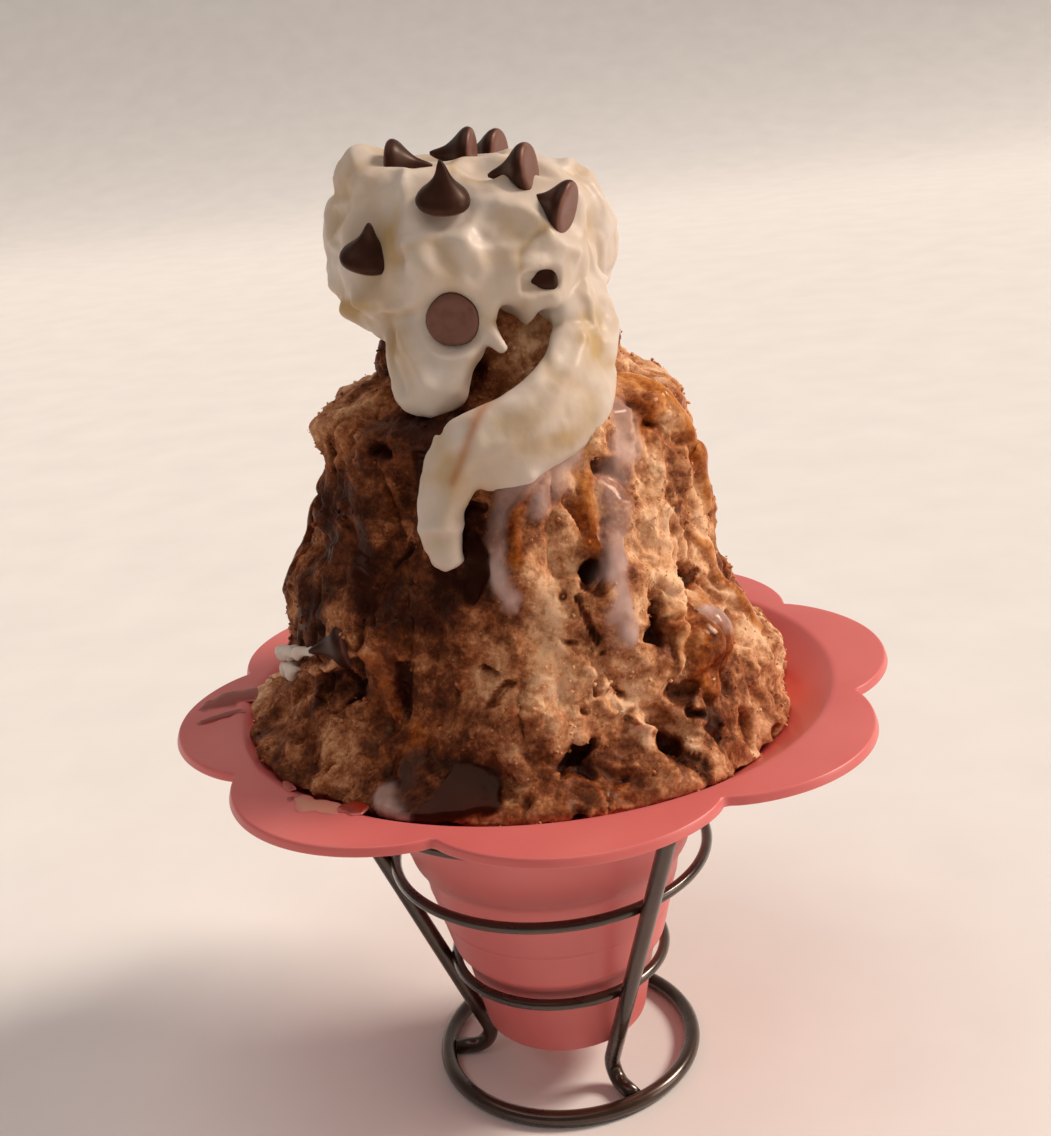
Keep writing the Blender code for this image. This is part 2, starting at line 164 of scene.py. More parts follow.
def smoothPath(knots, steps):
    # Catmull-Rom curve through rows of numbers
    rows = np.array(knots, float)
    rows = np.vstack([2 * rows[0] - rows[1], rows, 2 * rows[-1] - rows[-2]])
    t = (np.arange(steps) / steps)[None, :, None]
    a, b, c, d = [rows[i : len(rows) - 3 + i, None, :] for i in range(4)]
    curve = b + ((c - a) * t + (2 * a - 5 * b + 4 * c - d) * t**2 + (3 * b - a - 3 * c + d) * t**3) / 2
    return np.vstack([curve.reshape(-1, rows.shape[1]), rows[-2]])


def onCylinder(azimuth, radius, z):
    # azimuth in degrees, radius and height above the rim in mm, to a point in mm
    a = np.radians(azimuth)
    return np.stack([radius * np.sin(a), -radius * np.cos(a), z + rimZ + 0 * a], -1)


# ---- noise ----

def hashed(cells, salt):
    # whole-number cells (n, 3) to even random numbers 0..1
    h = cells[..., 0] * 73856093 ^ cells[..., 1] * 19349663 ^ cells[..., 2] * 83492791 ^ salt * 668265263
    h = (h ^ (h >> 13)) * 1274126177 & 0x7FFFFFFF
    h = (h ^ (h >> 15)) * 668265263 & 0x7FFFFFFF
    return ((h ^ (h >> 11)) & 0xFFFFF) / 0xFFFFF


def noise(points, size, salt=0):
    # smooth noise -1..1: random numbers at the corners of cells of a size in mm, blended inside
    p = np.asarray(points, float) / size
    cell = np.floor(p).astype(np.int64)
    f = p - cell
    f = f * f * f * (f * (f * 6 - 15) + 10)
    total = 0
    for corner in np.ndindex(2, 2, 2):
        weight = np.prod(np.where(np.array(corner) == 1, f, 1 - f), axis=-1)
        total = total + weight * hashed(cell + np.array(corner), salt)
    return total * 2 - 1


def layered(points, size, octaves, salt=0, gain=0.5):
    # noise of halving sizes, each weaker by gain
    return sum(gain**k * noise(points, size / 2**k, salt + 17 * k) for k in range(octaves))


def cellGaps(points, size, salt=0):
    # distance to the nearest and to the second nearest of points strewn one to a cell, in cells
    p = np.asarray(points, float) / size
    cell = np.floor(p).astype(np.int64)
    first = np.full(p.shape[:-1], 9.0)
    second = np.full(p.shape[:-1], 9.0)
    for shift in np.ndindex(3, 3, 3):
        near = cell + np.array(shift) - 1
        place = near + np.stack([hashed(near, salt + s) for s in (1, 2, 3)], -1)
        gap = np.linalg.norm(p - place, axis=-1)
        second = np.minimum(second, np.maximum(first, gap))
        first = np.minimum(first, gap)
    return first, second


# ---- the heap's large shape ----

heap = {
    "neckZ": 64, "neckStart": 3, "neckEnd": 4, "neckR": 24, "domeZ": 68, "topZ": 88,
    "shoulderR": 34.4, "baseR": 51.5, "sag": 1.2, "mouthR": 60.5, "toeGap": 1.2,
    "bareAzimuth": 82, "bareWidth": 48, "bareLow": 1.4, "bareHigh": 1.0,
    # bulges and hollows: azimuth, z, width in degrees, height in mm, depth in mm
    "features": (
        (-76, 60, 16, 3.0, 2.4),
        (-66, 67.5, 22, 3.4, -3.0),
        (66, 52, 24, 9.0, 3.0),
        (-33, 50, 10, 9.0, -6.5),
        (-72, 28, 26, 11.0, 3.5),
        (84, 7, 22, 4.5, 3.5),
        (84, 27, 26, 8.0, -1.5),
        (-13, 2, 8, 6.0, -6.0),
        (14, 34, 16, 8.0, 2.0),
        (-20, 20, 18, 7.0, -2.0),
        (150, 30, 24, 10.0, 2.5),
        (-150, 44, 24, 9.0, -2.5),
        (180, 12, 20, 6.0, 2.5),
        (-48, 52, 9, 9.0, 1.6),
        (-42, 44, 6, 5.0, 1.6),
        (-14, 46, 8, 4.5, -2.2),
        (-2, 34, 5, 12.0, 1.8),
        (17, 38, 4, 3.2, -2.6),
        (33, 24, 3.6, 5.5, -3.0),
        (39, 21, 4, 8.0, 1.4),
        (48, 17.5, 7, 6.0, 2.2),
        (27, 5, 5, 4.5, -4.0),
        (7, 6, 4, 2.6, -3.4),
        (23, 8, 3, 5.0, 1.6),
        (15, 5, 6, 5.0, -2.4),
        (-49, 15, 5, 3.0, -3.0),
        (-88, 44, 12, 7.0, 2.5),
        (52, 30, 5, 3.0, -2.0),
        (44, 33, 8, 6.0, 1.8),
        (-27, 6, 6, 5.0, -1.8),
    ),
}


def heapRadius(azimuth, z):
    # a hollow cone that steps in at the neck, a toe out to the mouth except at the bare side,
    # then bumps: depth * exp(-(turn/width)^2 - (rise/height)^2)
    h = heap
    belowNeck = np.clip(1 - z / h["neckZ"], 0, 1.2)
    cone = h["shoulderR"] + (h["baseR"] - h["shoulderR"]) * belowNeck ** h["sag"]
    neck = smoothStep(z, h["neckZ"] - h["neckStart"], h["neckZ"] + h["neckEnd"])
    dome = np.sqrt(1 - np.clip((z - h["domeZ"]) / (h["topZ"] - h["domeZ"]), 0, 1) ** 2)
    radius = cone * (1 - neck) + h["neckR"] * dome * neck
    bare = np.exp(-((turnBetween(azimuth, h["bareAzimuth"]) / h["bareWidth"]) ** 4))
    radius = radius - bare * (h["bareLow"] + h["bareHigh"] * smoothStep(z, 0, 20))
    radius = radius + np.exp(-np.maximum(z, 0) / 5) * (1 - bare) * (h["mouthR"] - h["toeGap"] - h["baseR"])
    for where, level, wide, tall, depth in h["features"]:
        radius = radius + depth * np.exp(-((turnBetween(azimuth, where) / wide) ** 2) - ((z - level) / tall) ** 2)
    return radius


def heapLumps(azimuth, z):
    # the radius with lumps of a centimetre and the channels that syrup has melted down the flank
    radius = heapRadius(azimuth, z)
    spot = onCylinder(azimuth, radius, z)
    fade = 1 - smoothStep(z, 76, 86)
    lumps = 1.7 * layered(spot, 15, 2, 3) + 1.3 * noise(spot, 6.5, 8)
    down = spot * np.array([1, 1, 0.22])
    channels = -1.6 * np.exp(-((noise(down, 9, 21) / 0.16) ** 2)) * smoothStep(z, 2, 12)
    radius = radius + fade * (lumps + channels * (1 - smoothStep(z, 58, 66)))
    inDish = heap["mouthR"] - 0.9 + 1.15 * np.minimum(z, 0)
    return np.where(z < 1, np.minimum(radius, inDish + 0.9 * smoothStep(z, 0, 1)), radius)


# ---- where the syrups have gone ----

syrup = {
    # dark chocolate syrup: azimuth, z, width, height, amount
    "chocolate": (
        # of these, (-60, 0) is painted shade in the gap between the ice and the dish's mouth, and (-33, 54) and (-15,
        # 2.6) darken deep hollows, partly syrup there and partly painted shade
        (-33, 54, 8, 9, 1.0), (-24, 62, 16, 5, 1.0), (-88, 42, 10, 16, 0.8), (-66, 44, 7, 10, 0.5),
        (-40, 36, 20, 7, 0.9), (-44, 49, 7, 7, 0.8), (26, 34, 4, 6, 0.5), (9, 51, 9, 4, 0.4), (-3, 27, 4, 9, 0.9), (-14, 40, 9, 6, 0.9), (-22, 31, 12, 8, 0.5), (-12, 46, 7, 5, 0.7),
        (17, 37, 3, 3, 0.9), (32.5, 24, 3, 4, 0.8), (-15, 2.6, 8, 3.2, 1.0), (20, 45, 6, 8, 0.45), (-2, 49, 6, 6, 0.5), (60, 14, 6, 6, 0.4),
        (-60, 0, 8, 2.5, 0.3), (24, 3, 3, 3, 0.8), (43, 3, 7, 4, 0.8), (36, 9, 6, 4, 0.7), (45, 8, 6, 4, 0.4),
        (12, 2, 8, 4, 1.5), (46, 16, 8, 7, 0.9), (-53, 15, 5, 3, 0.7), (-32, 16, 3, 5, 0.8), (-66, 28, 10, 7, 0.4),
        (12, 84, 60, 12, 0.45), (52, 62, 7, 3, 0.5), (-80, 74, 24, 8, 0.4), (-28, 5, 4, 5, 1.2),
        (-8, 30, 3, 3, 0.5), (-57, 23, 5, 4, 0.5), (53, 29, 3, 2, 0.6), (-41, 60, 3, 2, 0.5),
        (120, 20, 24, 14, 0.5), (-140, 30, 26, 20, 0.6), (170, 48, 22, 14, 0.5), (-170, 8, 22, 8, 0.5),
    ),
    # pale ice that the syrup has not reached
    "pale": (
        (-74, 62, 12, 5, 0.9), (9, 37, 9, 12, 0.45),
        (44, 50, 9, 9, 0.6), (46, 36, 12, 6, 0.6), (78, 9, 12, 6, 0.5), (-50, 7, 9, 5, 0.45),
        (11, 17, 8, 9, 0.45), (-50, 29, 5, 4, 0.5), (-42, 3, 6, 4, 0.45), (66, 40, 10, 10, 0.4),
        (-10, 20, 5, 4, 0.3), (33, 3.5, 3, 3, 0.7), (-64, 9, 6, 5, 0.3), (20, 16, 4.5, 6, 0.6),
        (-9, 10, 8, 3.5, 0.5), (-58, 3, 6, 3, 0.4), (57, 29, 6, 5, 0.4),
    ),
    # amber caramel
    "caramel": (
        (-87, 32, 6, 22, 0.9), (-2, 46, 4, 6, 0.7), (21, 48, 5, 9, 0.8), (52, 60, 16, 5, 0.9),
        (70, 52, 10, 12, 0.9), (-28, 7, 5, 7, 0.9), (-37, 15, 5, 4, 0.9), (-41, 21, 5, 4, 0.8),
        (53, 29, 4, 3, 0.9), (48, 17.5, 9, 8, 1.0), (12, 2, 9, 4, 0.35), (-40, 58, 6, 5, 0.4),
        (39, 22, 3, 8, 0.6), (-40, 47, 3, 4, 0.6), (-8, 30, 3, 3, 0.9), (84, 24, 12, 14, 0.5),
        (-60, 66, 8, 5, 0.4), (18, 42, 3, 3, 0.9), (-1, 3, 6, 4, 0.6), (-66, 40, 5, 10, 0.4),
        (110, 44, 14, 16, 0.6), (-120, 20, 14, 16, 0.6), (160, 30, 10, 20, 0.5),
    ),
}


def amountOf(kind, azimuth, z):
    # the sum of soft spots of one syrup, 0 to 1
    total = 0
    for where, level, wide, tall, amount in syrup[kind]:
        total = total + amount * np.exp(-((turnBetween(azimuth, where) / wide) ** 2) - ((z - level) / tall) ** 2)
    return np.clip(total, 0, 1)


runs = {
    # what runs down or pools on the ice: kind, knots of azimuth, z, half width, thickness or depth
    "milkLong": ("milk", (
        (41, 61, 3.6, 0.2), (36.5, 54.5, 3.6, 0.15), (29, 48.5, 3.2, 0.2), (24.5, 40, 2.8, 0.5), (22, 34, 2.6, 0.6),
        (22.4, 29, 3.4, 1.1), (23.6, 24.6, 3.4, 1.6))),
    "milkShort": ("milk", (
        (8, 55.5, 3.0, 0.3), (2, 54.5, 3.0, 0.5), (-3, 50.5, 2.3, 0.6), (-7, 45, 2.2, 0.7), (-6, 39, 2.3, 0.6),
        (-4.5, 34.5, 2.4, 0.4))),
    "milkOnLump": ("milk", ((49, 22.5, 2.0, 0.3), (53, 20.8, 2.2, 0.4))),
    "milkPatch": ("milk", ((18, 56, 3.8, 0.5), (12, 53, 3.6, 0.7), (6, 49.5, 2.2, 0.4))),
    "milkPuddle": ("milk", ((-31, 2.6, 1.2, 0.4), (-28, 1.4, 1.9, 0.9), (-24, 0.8, 1.4, 0.5))),
    "strapOuter": ("caramel", (
        (52, 66.5, 1.8, 0.8), (62, 63, 2.0, 1.4), (66, 56, 2.2, 1.8), (70.5, 49, 2.3, 2.2), (72, 43, 2.4, 2.3),
        (71, 38.5, 1.9, 1.9))),
    "strapInner": ("caramel", ((63, 64, 1.5, 0.8), (55, 60.5, 1.7, 1.2), (45, 58, 1.6, 0.9), (41, 53, 1.3, 0.5))),
    "lump": ("caramel", ((53, 22.6, 3.6, 1.0), (49.5, 19, 5.8, 2.4), (45.6, 15.4, 6.2, 2.7), (42.4, 12.2, 4.0, 1.3))),
    "ropeFar": ("caramel", ((62, 34, 1.4, 0.8), (69, 27, 1.7, 1.3), (72, 19, 1.6, 1.2), (76, 12, 1.2, 0.7))),
    "column": ("caramel", ((22, 57, 2.4, 0.4), (20.5, 50, 2.2, 0.6), (18.5, 42, 1.8, 0.5))),
    "byMilk": ("caramel", ((4, 52, 1.5, 0.5), (-1, 47, 1.6, 0.7), (-1.5, 41, 1.3, 0.4))),
    "poolFront": ("caramel", ((-28.5, 10.5, 1.8, 0.4), (-28, 6.5, 2.9, 0.9), (-27.5, 3.2, 2.4, 0.7))),
    "streakLow": ("caramel", ((-41, 22, 2.0, 0.2), (-38, 17, 2.2, 0.3), (-35, 12, 2.0, 0.3))),
    "edgeLeft": ("caramel", ((-88, 58, 1.6, 0.4), (-88, 46, 2.4, 0.9), (-86, 34, 2.4, 1.0), (-84, 24, 1.8, 0.5))),
    "backStrap": ("caramel", ((150, 62, 2.0, 0.6), (158, 50, 2.6, 1.4), (154, 36, 2.4, 1.4), (157, 26, 2.0, 1.6))),
    "backMilk": ("milk", ((-150, 60, 2.6, 0.5), (-144, 48, 2.8, 1.0), (-147, 36, 2.4, 1.6))),
    "sideStrap": ("caramel", ((112, 60, 1.8, 0.6), (108, 50, 2.2, 1.2), (114, 40, 2.0, 1.4))),
    "sideMilk": ("milk", ((-112, 64, 2.4, 0.5), (-116, 54, 2.6, 0.9), (-112, 43, 2.4, 1.4))),
    "poolDark": ("chocolate", ((-22, 0.6, 2.2, 0.4), (-18, 1.6, 3.6, 0.5), (-13.5, 1.8, 3.8, 0.5), (-10, 1.2, 2.4, 0.3))),
    # crevices and ridges of the ice itself; besides cutting and raising the skin, the crevices are darkened, partly as
    # syrup and partly as painted shade, and the ridges lightened, partly as painted light
    "crease": ("cut", ((11.9, 32.6, 0.7, 0.8), (14.5, 27, 0.8, 1.2), (17.5, 22, 0.6, 0.7))),
    "slit": ("cut", ((11.6, 7.0, 1.3, 2.4), (8, 5.2, 1.6, 3.0), (4.4, 3.7, 0.9, 1.6))),
    "slashHigh": ("cut", ((-12.3, 21.6, 0.9, 1.4), (-8.5, 20.8, 0.6, 0.8))),
    "slashLow": ("cut", ((-9.9, 17.0, 1.0, 1.8), (-5.2, 19.6, 0.6, 0.8))),
    "holeWide": ("cut", ((35.5, 27.8, 0.9, 1.4), (32.8, 25.6, 1.9, 2.8), (30.8, 21.5, 1.0, 2.0))),
    "holeHigh": ("cut", ((18.5, 38.5, 1.2, 2.0), (17.3, 36.6, 2.0, 3.0), (16, 34, 1.2, 1.6))),
    "pinHigh": ("cut", ((18.0, 15.1, 0.8, 1.8), (19.6, 14.2, 0.8, 1.8))),
    "pinLow": ("cut", ((19.2, 10.3, 0.8, 1.8), (20.6, 9.8, 0.8, 1.8))),
    "pinRight": ("cut", ((36.0, 7.4, 1.0, 1.8), (37.8, 6.4, 0.9, 1.8))),
    "pinLeft": ("cut", ((-43, 59.9, 1.2, 2.2), (-39.8, 59.4, 1.2, 2.2))),
    "curl": ("cut", ((-56.5, 12.6, 1.3, 1.8), (-55.4, 16.8, 1.2, 2.0), (-51, 17.9, 1.1, 1.8), (-48.4, 15.4, 1.2, 1.6), (-49, 12.2, 0.8, 0.9))),
    "slot": ("cut", ((-32.6, 20.8, 1.2, 1.4), (-31.7, 16.7, 1.6, 1.8), (-31.5, 12.8, 1.1, 1.2))),
    "underTip": ("cut", ((-13.5, 44, 1.6, 1.4), (-11.5, 39.5, 2.0, 2.0), (-14, 35.5, 1.6, 1.2))),
    "underLump": ("cut", ((39, 11.2, 1.4, 1.4), (35, 10.2, 1.5, 1.6), (31, 12, 1.0, 1.0))),
    "byRidge": ("cut", ((24, 6.6, 0.9, 1.4), (27, 3.8, 2.2, 2.4), (30, 1.4, 2.0, 1.8))),
    "dimple": ("cut", ((51.5, 29.6, 1.2, 1.0), (56, 27.8, 1.4, 1.4))),
    "ridgeFoot": ("ridge", ((12.5, 21, 0.9, 0.7), (16.5, 16, 1.1, 1.0), (21.5, 7.6, 1.2, 1.4), (23.6, 1, 1.2, 1.2))),
    "ridgeBrow": ("ridge", ((34, 34, 1.4, 1.0), (40, 31, 1.7, 1.6), (44.5, 26.5, 1.3, 1.2))),
    "ridgeBy": ("ridge", ((41, 26, 1.0, 1.0), (37.6, 20.5, 1.1, 1.4), (34, 14, 1.0, 0.9))),
    "ridgeLeft": ("ridge", ((-74, 12.6, 1.2, 0.8), (-60, 17.6, 1.4, 1.2), (-48.5, 20.8, 1.1, 0.7))),
}


def runField(points, kind):
    # how much of a run lies at each point, 0 to 1, and how thick: from the distance to its line in widths
    azimuth = np.degrees(np.arctan2(points[..., 0], -points[..., 1]))
    z = points[..., 2] - rimZ
    around = np.hypot(points[..., 0], points[..., 1]) * math.radians(1)
    wobble = np.stack([layered(points, 5, 2, 51), layered(points, 5, 2, 52)], -1) * 1.3
    cover = np.zeros(z.shape)
    lift = np.zeros(z.shape)
    soft = 0.25 if kind == "milk" else 0.6
    for sort, knots in runs.values():
        if sort != kind:
            continue
        path = smoothPath(knots, 4)
        low, high = path[:, 1].min() - 6, path[:, 1].max() + 6
        reach = np.abs(turnBetween(path[:, 0], path[0, 0])).max() + 12
        near = (z > low) & (z < high) & (np.abs(turnBetween(azimuth, path[0, 0])) < reach)
        a, h, k, w = azimuth[near], z[near], around[near], wobble[near]
        best = np.full(a.shape, 9.0)
        thick = np.zeros(a.shape)
        for start, end in zip(path[:-1], path[1:]):
            p = np.stack([turnBetween(a, start[0]) * k, h - start[1]], -1) + w
            d = np.stack([turnBetween(end[0], start[0]) * k, np.full(a.shape, end[1] - start[1])], -1)
            t = np.clip((p * d).sum(-1) / ((d * d).sum(-1) + 1e-9), 0, 1)
            share = np.linalg.norm(p - d * t[..., None], axis=-1) / (start[2] + (end[2] - start[2]) * t)
            closer = share < best
            best = np.where(closer, share, best)
            thick = np.where(closer, start[3] + (end[3] - start[3]) * t, thick)
        cover[near] = np.maximum(cover[near], 1 - smoothStep(best, soft, 1.25))
        lift[near] = np.maximum(lift[near], thick * np.sqrt(np.clip(1 - best**2, 0, 1)))
    return cover, lift


def syrupMaps(points, gaps):
    # chocolate, caramel, milk and wetness at points in mm; syrup gathers in the gaps between crumbs, whose darkening
    # is partly that syrup and partly painted shade
    azimuth = np.degrees(np.arctan2(points[..., 0], -points[..., 1]))
    z = points[..., 2] - rimZ
    patches = layered(points, 10, 3, 40)
    streaks = layered(points * np.array([1, 1, 0.3]), 5, 2, 60)
    dark = amountOf("chocolate", azimuth, z)
    pale = amountOf("pale", azimuth, z)
    # the left side, away from the main lamp, gets more chocolate: partly syrup soaked in there, partly painted shade
    # of the heap's shadow side
    leftSideSyrupAndShade = 1 / (1 + np.exp((turnBetween(azimuth, -50) ** 2 - 42**2) / 500))
    cut, _ = runField(points, "cut")
    ridge, _ = runField(points, "ridge")
    pool, _ = runField(points, "chocolate")
    # the gaps between crumbs add chocolate: partly syrup gathered in them, partly painted shade
    chocolate = 0.32 + 0.3 * leftSideSyrupAndShade + 0.46 * dark - 0.40 * pale + 0.24 * patches + 0.14 * streaks + 0.20 * gaps
    # slits and holes get more chocolate and ridge crests less: partly syrup running off the crests into the slits,
    # partly painted shade in the slits, such as under the cream's tip and under the lump, and painted light on the
    # crests
    chocolate = np.maximum(chocolate + 0.45 * cut - 0.28 * ridge, 1.4 * pool)
    amber, _ = runField(points, "caramel")
    milk, _ = runField(points, "milk")
    caramel = amountOf("caramel", azimuth, z) * (0.7 + 0.6 * streaks + 0.2 * gaps) + 0.3 * noise(points, 6, 71)
    caramel = np.maximum(np.clip(caramel, 0, 0.85), amber * (0.9 + 0.25 * noise(points, 4, 72)))
    chocolate = chocolate * (1 - 0.3 * amber) + 0.12 * amber
    wet = 0.2 + 0.2 * dark + 0.6 * caramel - 0.4 * pale + 0.4 * streaks + 0.3 * gaps
    wet = np.maximum(np.clip(wet, 0, 0.8), np.maximum(np.maximum(amber, milk), pool))
    # the milk runs thin at random, and much thinner about 48 mm up, where the brown ice shows through: that band is
    # painted shade below the cream's ribbon
    milkThinAndShade = (0.9 + 0.15 * noise(points, 3.5, 73)) * (1 - 0.55 * np.exp(-(((z - 48) / 7) ** 2)))
    rest = {"chocolate": chocolate, "caramel": caramel * (1 - milk), "milk": milk * milkThinAndShade, "wet": wet}
    return {key: np.clip(value, 0, 1.4 if key == "chocolate" else 1) for key, value in rest.items()}


# ---- materials ----

def makeIceFinish(name, grain=1.0):
    # shaved ice soaked with syrup: half clear, pale where dry, dark and wet where syrup lies, milk in runs; the dark
    # also holds painted shade on the heap's left side and in its gaps, slits and hollows, and its ridges are lighter
    # partly as painted light
    material, shader = newMaterial(name)
    place = addNode(material, "TexCoord").outputs["Object"]
    chocolate, caramel, milk, wet = [
        addNode(material, "Attribute", attribute_name=key).outputs["Fac"] for key in ("chocolate", "caramel", "milk", "wet")]
    blots = addNode(material, "TexNoise", {"Vector": place, "Scale": perMetre(2.6), "Detail": 5.0, "Roughness": 0.6})
    crumbs = addNode(material, "TexNoise", {"Vector": place, "Scale": perMetre(0.8), "Detail": 4.0, "Roughness": 0.65})
    spread = addNode(material, "MapRange", {0: blots.outputs["Fac"], 1: 0.25, 2: 0.75, 3: -0.24, 4: 0.24})
    speck = addNode(material, "MapRange", {0: crumbs.outputs["Fac"], 1: 0.3, 2: 0.7, 3: -0.13, 4: 0.13})
    stain = addNode(material, "Math", {0: chocolate, 1: spread.outputs[0]}, operation="ADD")
    stain = addNode(material, "Math", {0: stain.outputs[0], 1: speck.outputs[0]}, operation="ADD")
    tone = addNode(material, "ValToRGB", {0: stain.outputs[0]}, ramp=(
        (0.02, "F0C6A0"), (0.22, "D09A70"), (0.42, "A46844"), (0.62, "703C22"), (0.82, "4A2412"), (1.0, "300C04")))
    amber = addNode(material, "ValToRGB", {0: stain.outputs[0]}, ramp=(
        (0.10, "D08A48"), (0.42, "A0541F"), (0.75, "60280C"), (1.0, "341006")))
    thick = addNode(material, "TexNoise", {"Vector": place, "Scale": perMetre(6.0), "Detail": 2.0})
    cloud = addNode(material, "ValToRGB", {0: thick.outputs["Fac"]}, ramp=((0.35, "A8857B"), (0.65, "D6BAB3")))
    mixed = addNode(material, "Mix", {0: caramel, 6: tone.outputs[0], 7: amber.outputs[0]}, data_type="RGBA")
    mixed = addNode(material, "Mix", {0: milk, 6: mixed.outputs[2], 7: cloud.outputs[0]}, data_type="RGBA")
    shine = addNode(material, "MapRange", {0: wet, 1: 0.2, 2: 1.0, 3: 0.62, 4: 0.15})
    rough = addNode(material, "MapRange", {0: wet, 1: 0.3, 2: 0.95, 3: 0.85 * grain, 4: 0.05})
    bump = addNode(material, "Bump", {"Height": crumbs.outputs["Fac"], "Strength": rough.outputs[0], "Distance": 0.3 * mm})
    setShader(
        material, shader, Base_Color=mixed.outputs[2], Roughness=shine.outputs[0], Normal=bump.outputs[0],
        IOR=1.33, Specular_IOR_Level=0.34, Specular_Tint=linear("FFDCC0"), Subsurface_Weight=0.35, Subsurface_Radius=(1.0, 0.45, 0.25), Subsurface_Scale=1.0 * mm,
    )
    return material


def makeCreamFinish():
    # whipped cream, soft and melting: matte with a faint wet sheen, ivory with buttery places, darker and yellower in
    # its creases, partly butter and partly painted shade
    material, shader = newMaterial("melting whipped cream")
    place = addNode(material, "TexCoord").outputs["Object"]
    butterAndShade = addNode(material, "Attribute", attribute_name="butterAndShade").outputs["Fac"]
    broad = addNode(material, "TexNoise", {"Vector": place, "Scale": perMetre(9), "Detail": 3.0})
    shift = addNode(material, "MapRange", {0: broad.outputs["Fac"], 1: 0.3, 2: 0.7, 3: -0.22, 4: 0.22})
    warmth = addNode(material, "Math", {0: butterAndShade, 1: shift.outputs[0]}, operation="ADD")
    tone = addNode(material, "ValToRGB", {0: warmth.outputs[0]}, ramp=(
        (0.0, "DFD4CA"), (0.5, "D3C1AE"), (1.0, "C2A476")))
    film = addNode(material, "TexNoise", {"Vector": place, "Scale": perMetre(2.4), "Detail": 3.0})
    bump = addNode(material, "Bump", {"Height": film.outputs["Fac"], "Strength": 0.22, "Distance": 0.5 * mm})
    stain = addNode(material, "Attribute", attribute_name="stain").outputs["Fac"]
    mixed = addNode(material, "Mix", {0: stain, 6: tone.outputs[0], 7: linear("B9733A")}, data_type="RGBA")
    setShader(
        material, shader, Base_Color=mixed.outputs[2], Roughness=0.42, Normal=bump.outputs[0], IOR=1.4,
        Subsurface_Weight=0.35, Subsurface_Radius=(1.0, 0.7, 0.45), Subsurface_Scale=2.0 * mm,
    )
    return material


def makeChocolateFinish():
    # tempered dark chocolate: satin, browner and paler with bloom, paler on its flat base
    material, shader = newMaterial("dark chocolate with light bloom")
    place = addNode(material, "TexCoord").outputs["Object"]
    bloom = addNode(material, "TexNoise", {"Vector": place, "Scale": perMetre(2.5), "Detail": 4.0})
    flat = addNode(material, "Attribute", attribute_name="flat").outputs["Fac"]
    warm = addNode(material, "MapRange", {0: bloom.outputs["Fac"], 1: 0.3, 2: 0.7, 3: -0.15, 4: 0.15})
    level = addNode(material, "Math", {0: flat, 1: warm.outputs[0]}, operation="ADD")
    tone = addNode(material, "ValToRGB", {0: level.outputs[0]}, ramp=(
        (0.0, "321A14"), (0.6, "56342C"), (1.0, "7A554C")))
    bump = addNode(material, "Bump", {"Height": bloom.outputs["Fac"], "Strength": 0.15, "Distance": 0.3 * mm})
    setShader(
        material, shader, Base_Color=tone.outputs[0], Roughness=0.42, Normal=bump.outputs[0], IOR=1.38,
        Specular_IOR_Level=0.4, Specular_Tint=linear("FFD2B0"), Coat_Weight=0.05, Coat_Roughness=0.2,
    )
    return material


def makeCupFinish():
    # injection-moulded polystyrene, coral pink: even colour, satin, a little light comes through the
    # wall; smears of syrup and of melted ice fade into it at their edges; the inside of the dish is painted a brighter
    # red-orange, a painted glow of light coming through the wall
    material, shader = newMaterial("moulded coral polystyrene")
    place = addNode(material, "TexCoord").outputs["Object"]
    cloud = addNode(material, "TexNoise", {"Vector": place, "Scale": perMetre(30), "Detail": 3.0})
    inside = addNode(material, "Attribute", attribute_name="inside").outputs["Fac"]
    tone = addNode(material, "ValToRGB", {0: cloud.outputs["Fac"]}, ramp=((0.3, "D66A69"), (0.7, "E07875")))
    # the inside of the dish gets a brighter red-orange: painted glow of light passing through the wall
    mixed = addNode(material, "Mix", {0: inside, 6: tone.outputs[0], 7: linear("EE4A34")}, data_type="RGBA")
    for key, colour in (("film", "D8957C"), ("syrup", "8C1E00")):
        amount = addNode(material, "Attribute", attribute_name=key).outputs["Fac"]
        mixed = addNode(material, "Mix", {0: amount, 6: mixed.outputs[2], 7: linear(colour)}, data_type="RGBA")
    fine = addNode(material, "TexNoise", {"Vector": place, "Scale": perMetre(0.8), "Detail": 2.0})
    bump = addNode(material, "Bump", {"Height": fine.outputs["Fac"], "Strength": 0.06, "Distance": 0.1 * mm})
    setShader(
        material, shader, Base_Color=mixed.outputs[2], Roughness=0.38, Normal=bump.outputs[0], IOR=1.55,
        Subsurface_Weight=0.18, Subsurface_Radius=(1.0, 0.4, 0.35), Subsurface_Scale=2.5 * mm,
    )
    return material


def makeWireFinish():
    # steel wire with dark brown lacquer: smooth, half glossy, a beige glint along each bend
    material, shader = newMaterial("brown lacquered steel wire")
    place = addNode(material, "TexCoord").outputs["Object"]
    cloud = addNode(material, "TexNoise", {"Vector": place, "Scale": perMetre(7), "Detail": 4.0})
    tone = addNode(material, "ValToRGB", {0: cloud.outputs["Fac"]}, ramp=((0.3, "2E1B12"), (0.7, "46301F")))
    rough = addNode(material, "MapRange", {0: cloud.outputs["Fac"], 1: 0.3, 2: 0.7, 3: 0.24, 4: 0.36})
    setShader(
        material, shader, Base_Color=tone.outputs[0], Roughness=rough.outputs[0], Metallic=0.35,
        Coat_Weight=0.8, Coat_Roughness=0.14,
    )
    return material


iceFinish = makeIceFinish("shaved ice soaked with syrup")
grainFinish = makeIceFinish("loose grains of shaved ice", 0.4)
creamFinish = makeCreamFinish()
chocolateFinish = makeChocolateFinish()
cupFinish = makeCupFinish()
wireFinish = makeWireFinish()
print("materials made")


# ---- the shaved ice ----

iceShape = {"columns": 560, "lowRows": 150, "highRows": 150, "seam": 24.0}


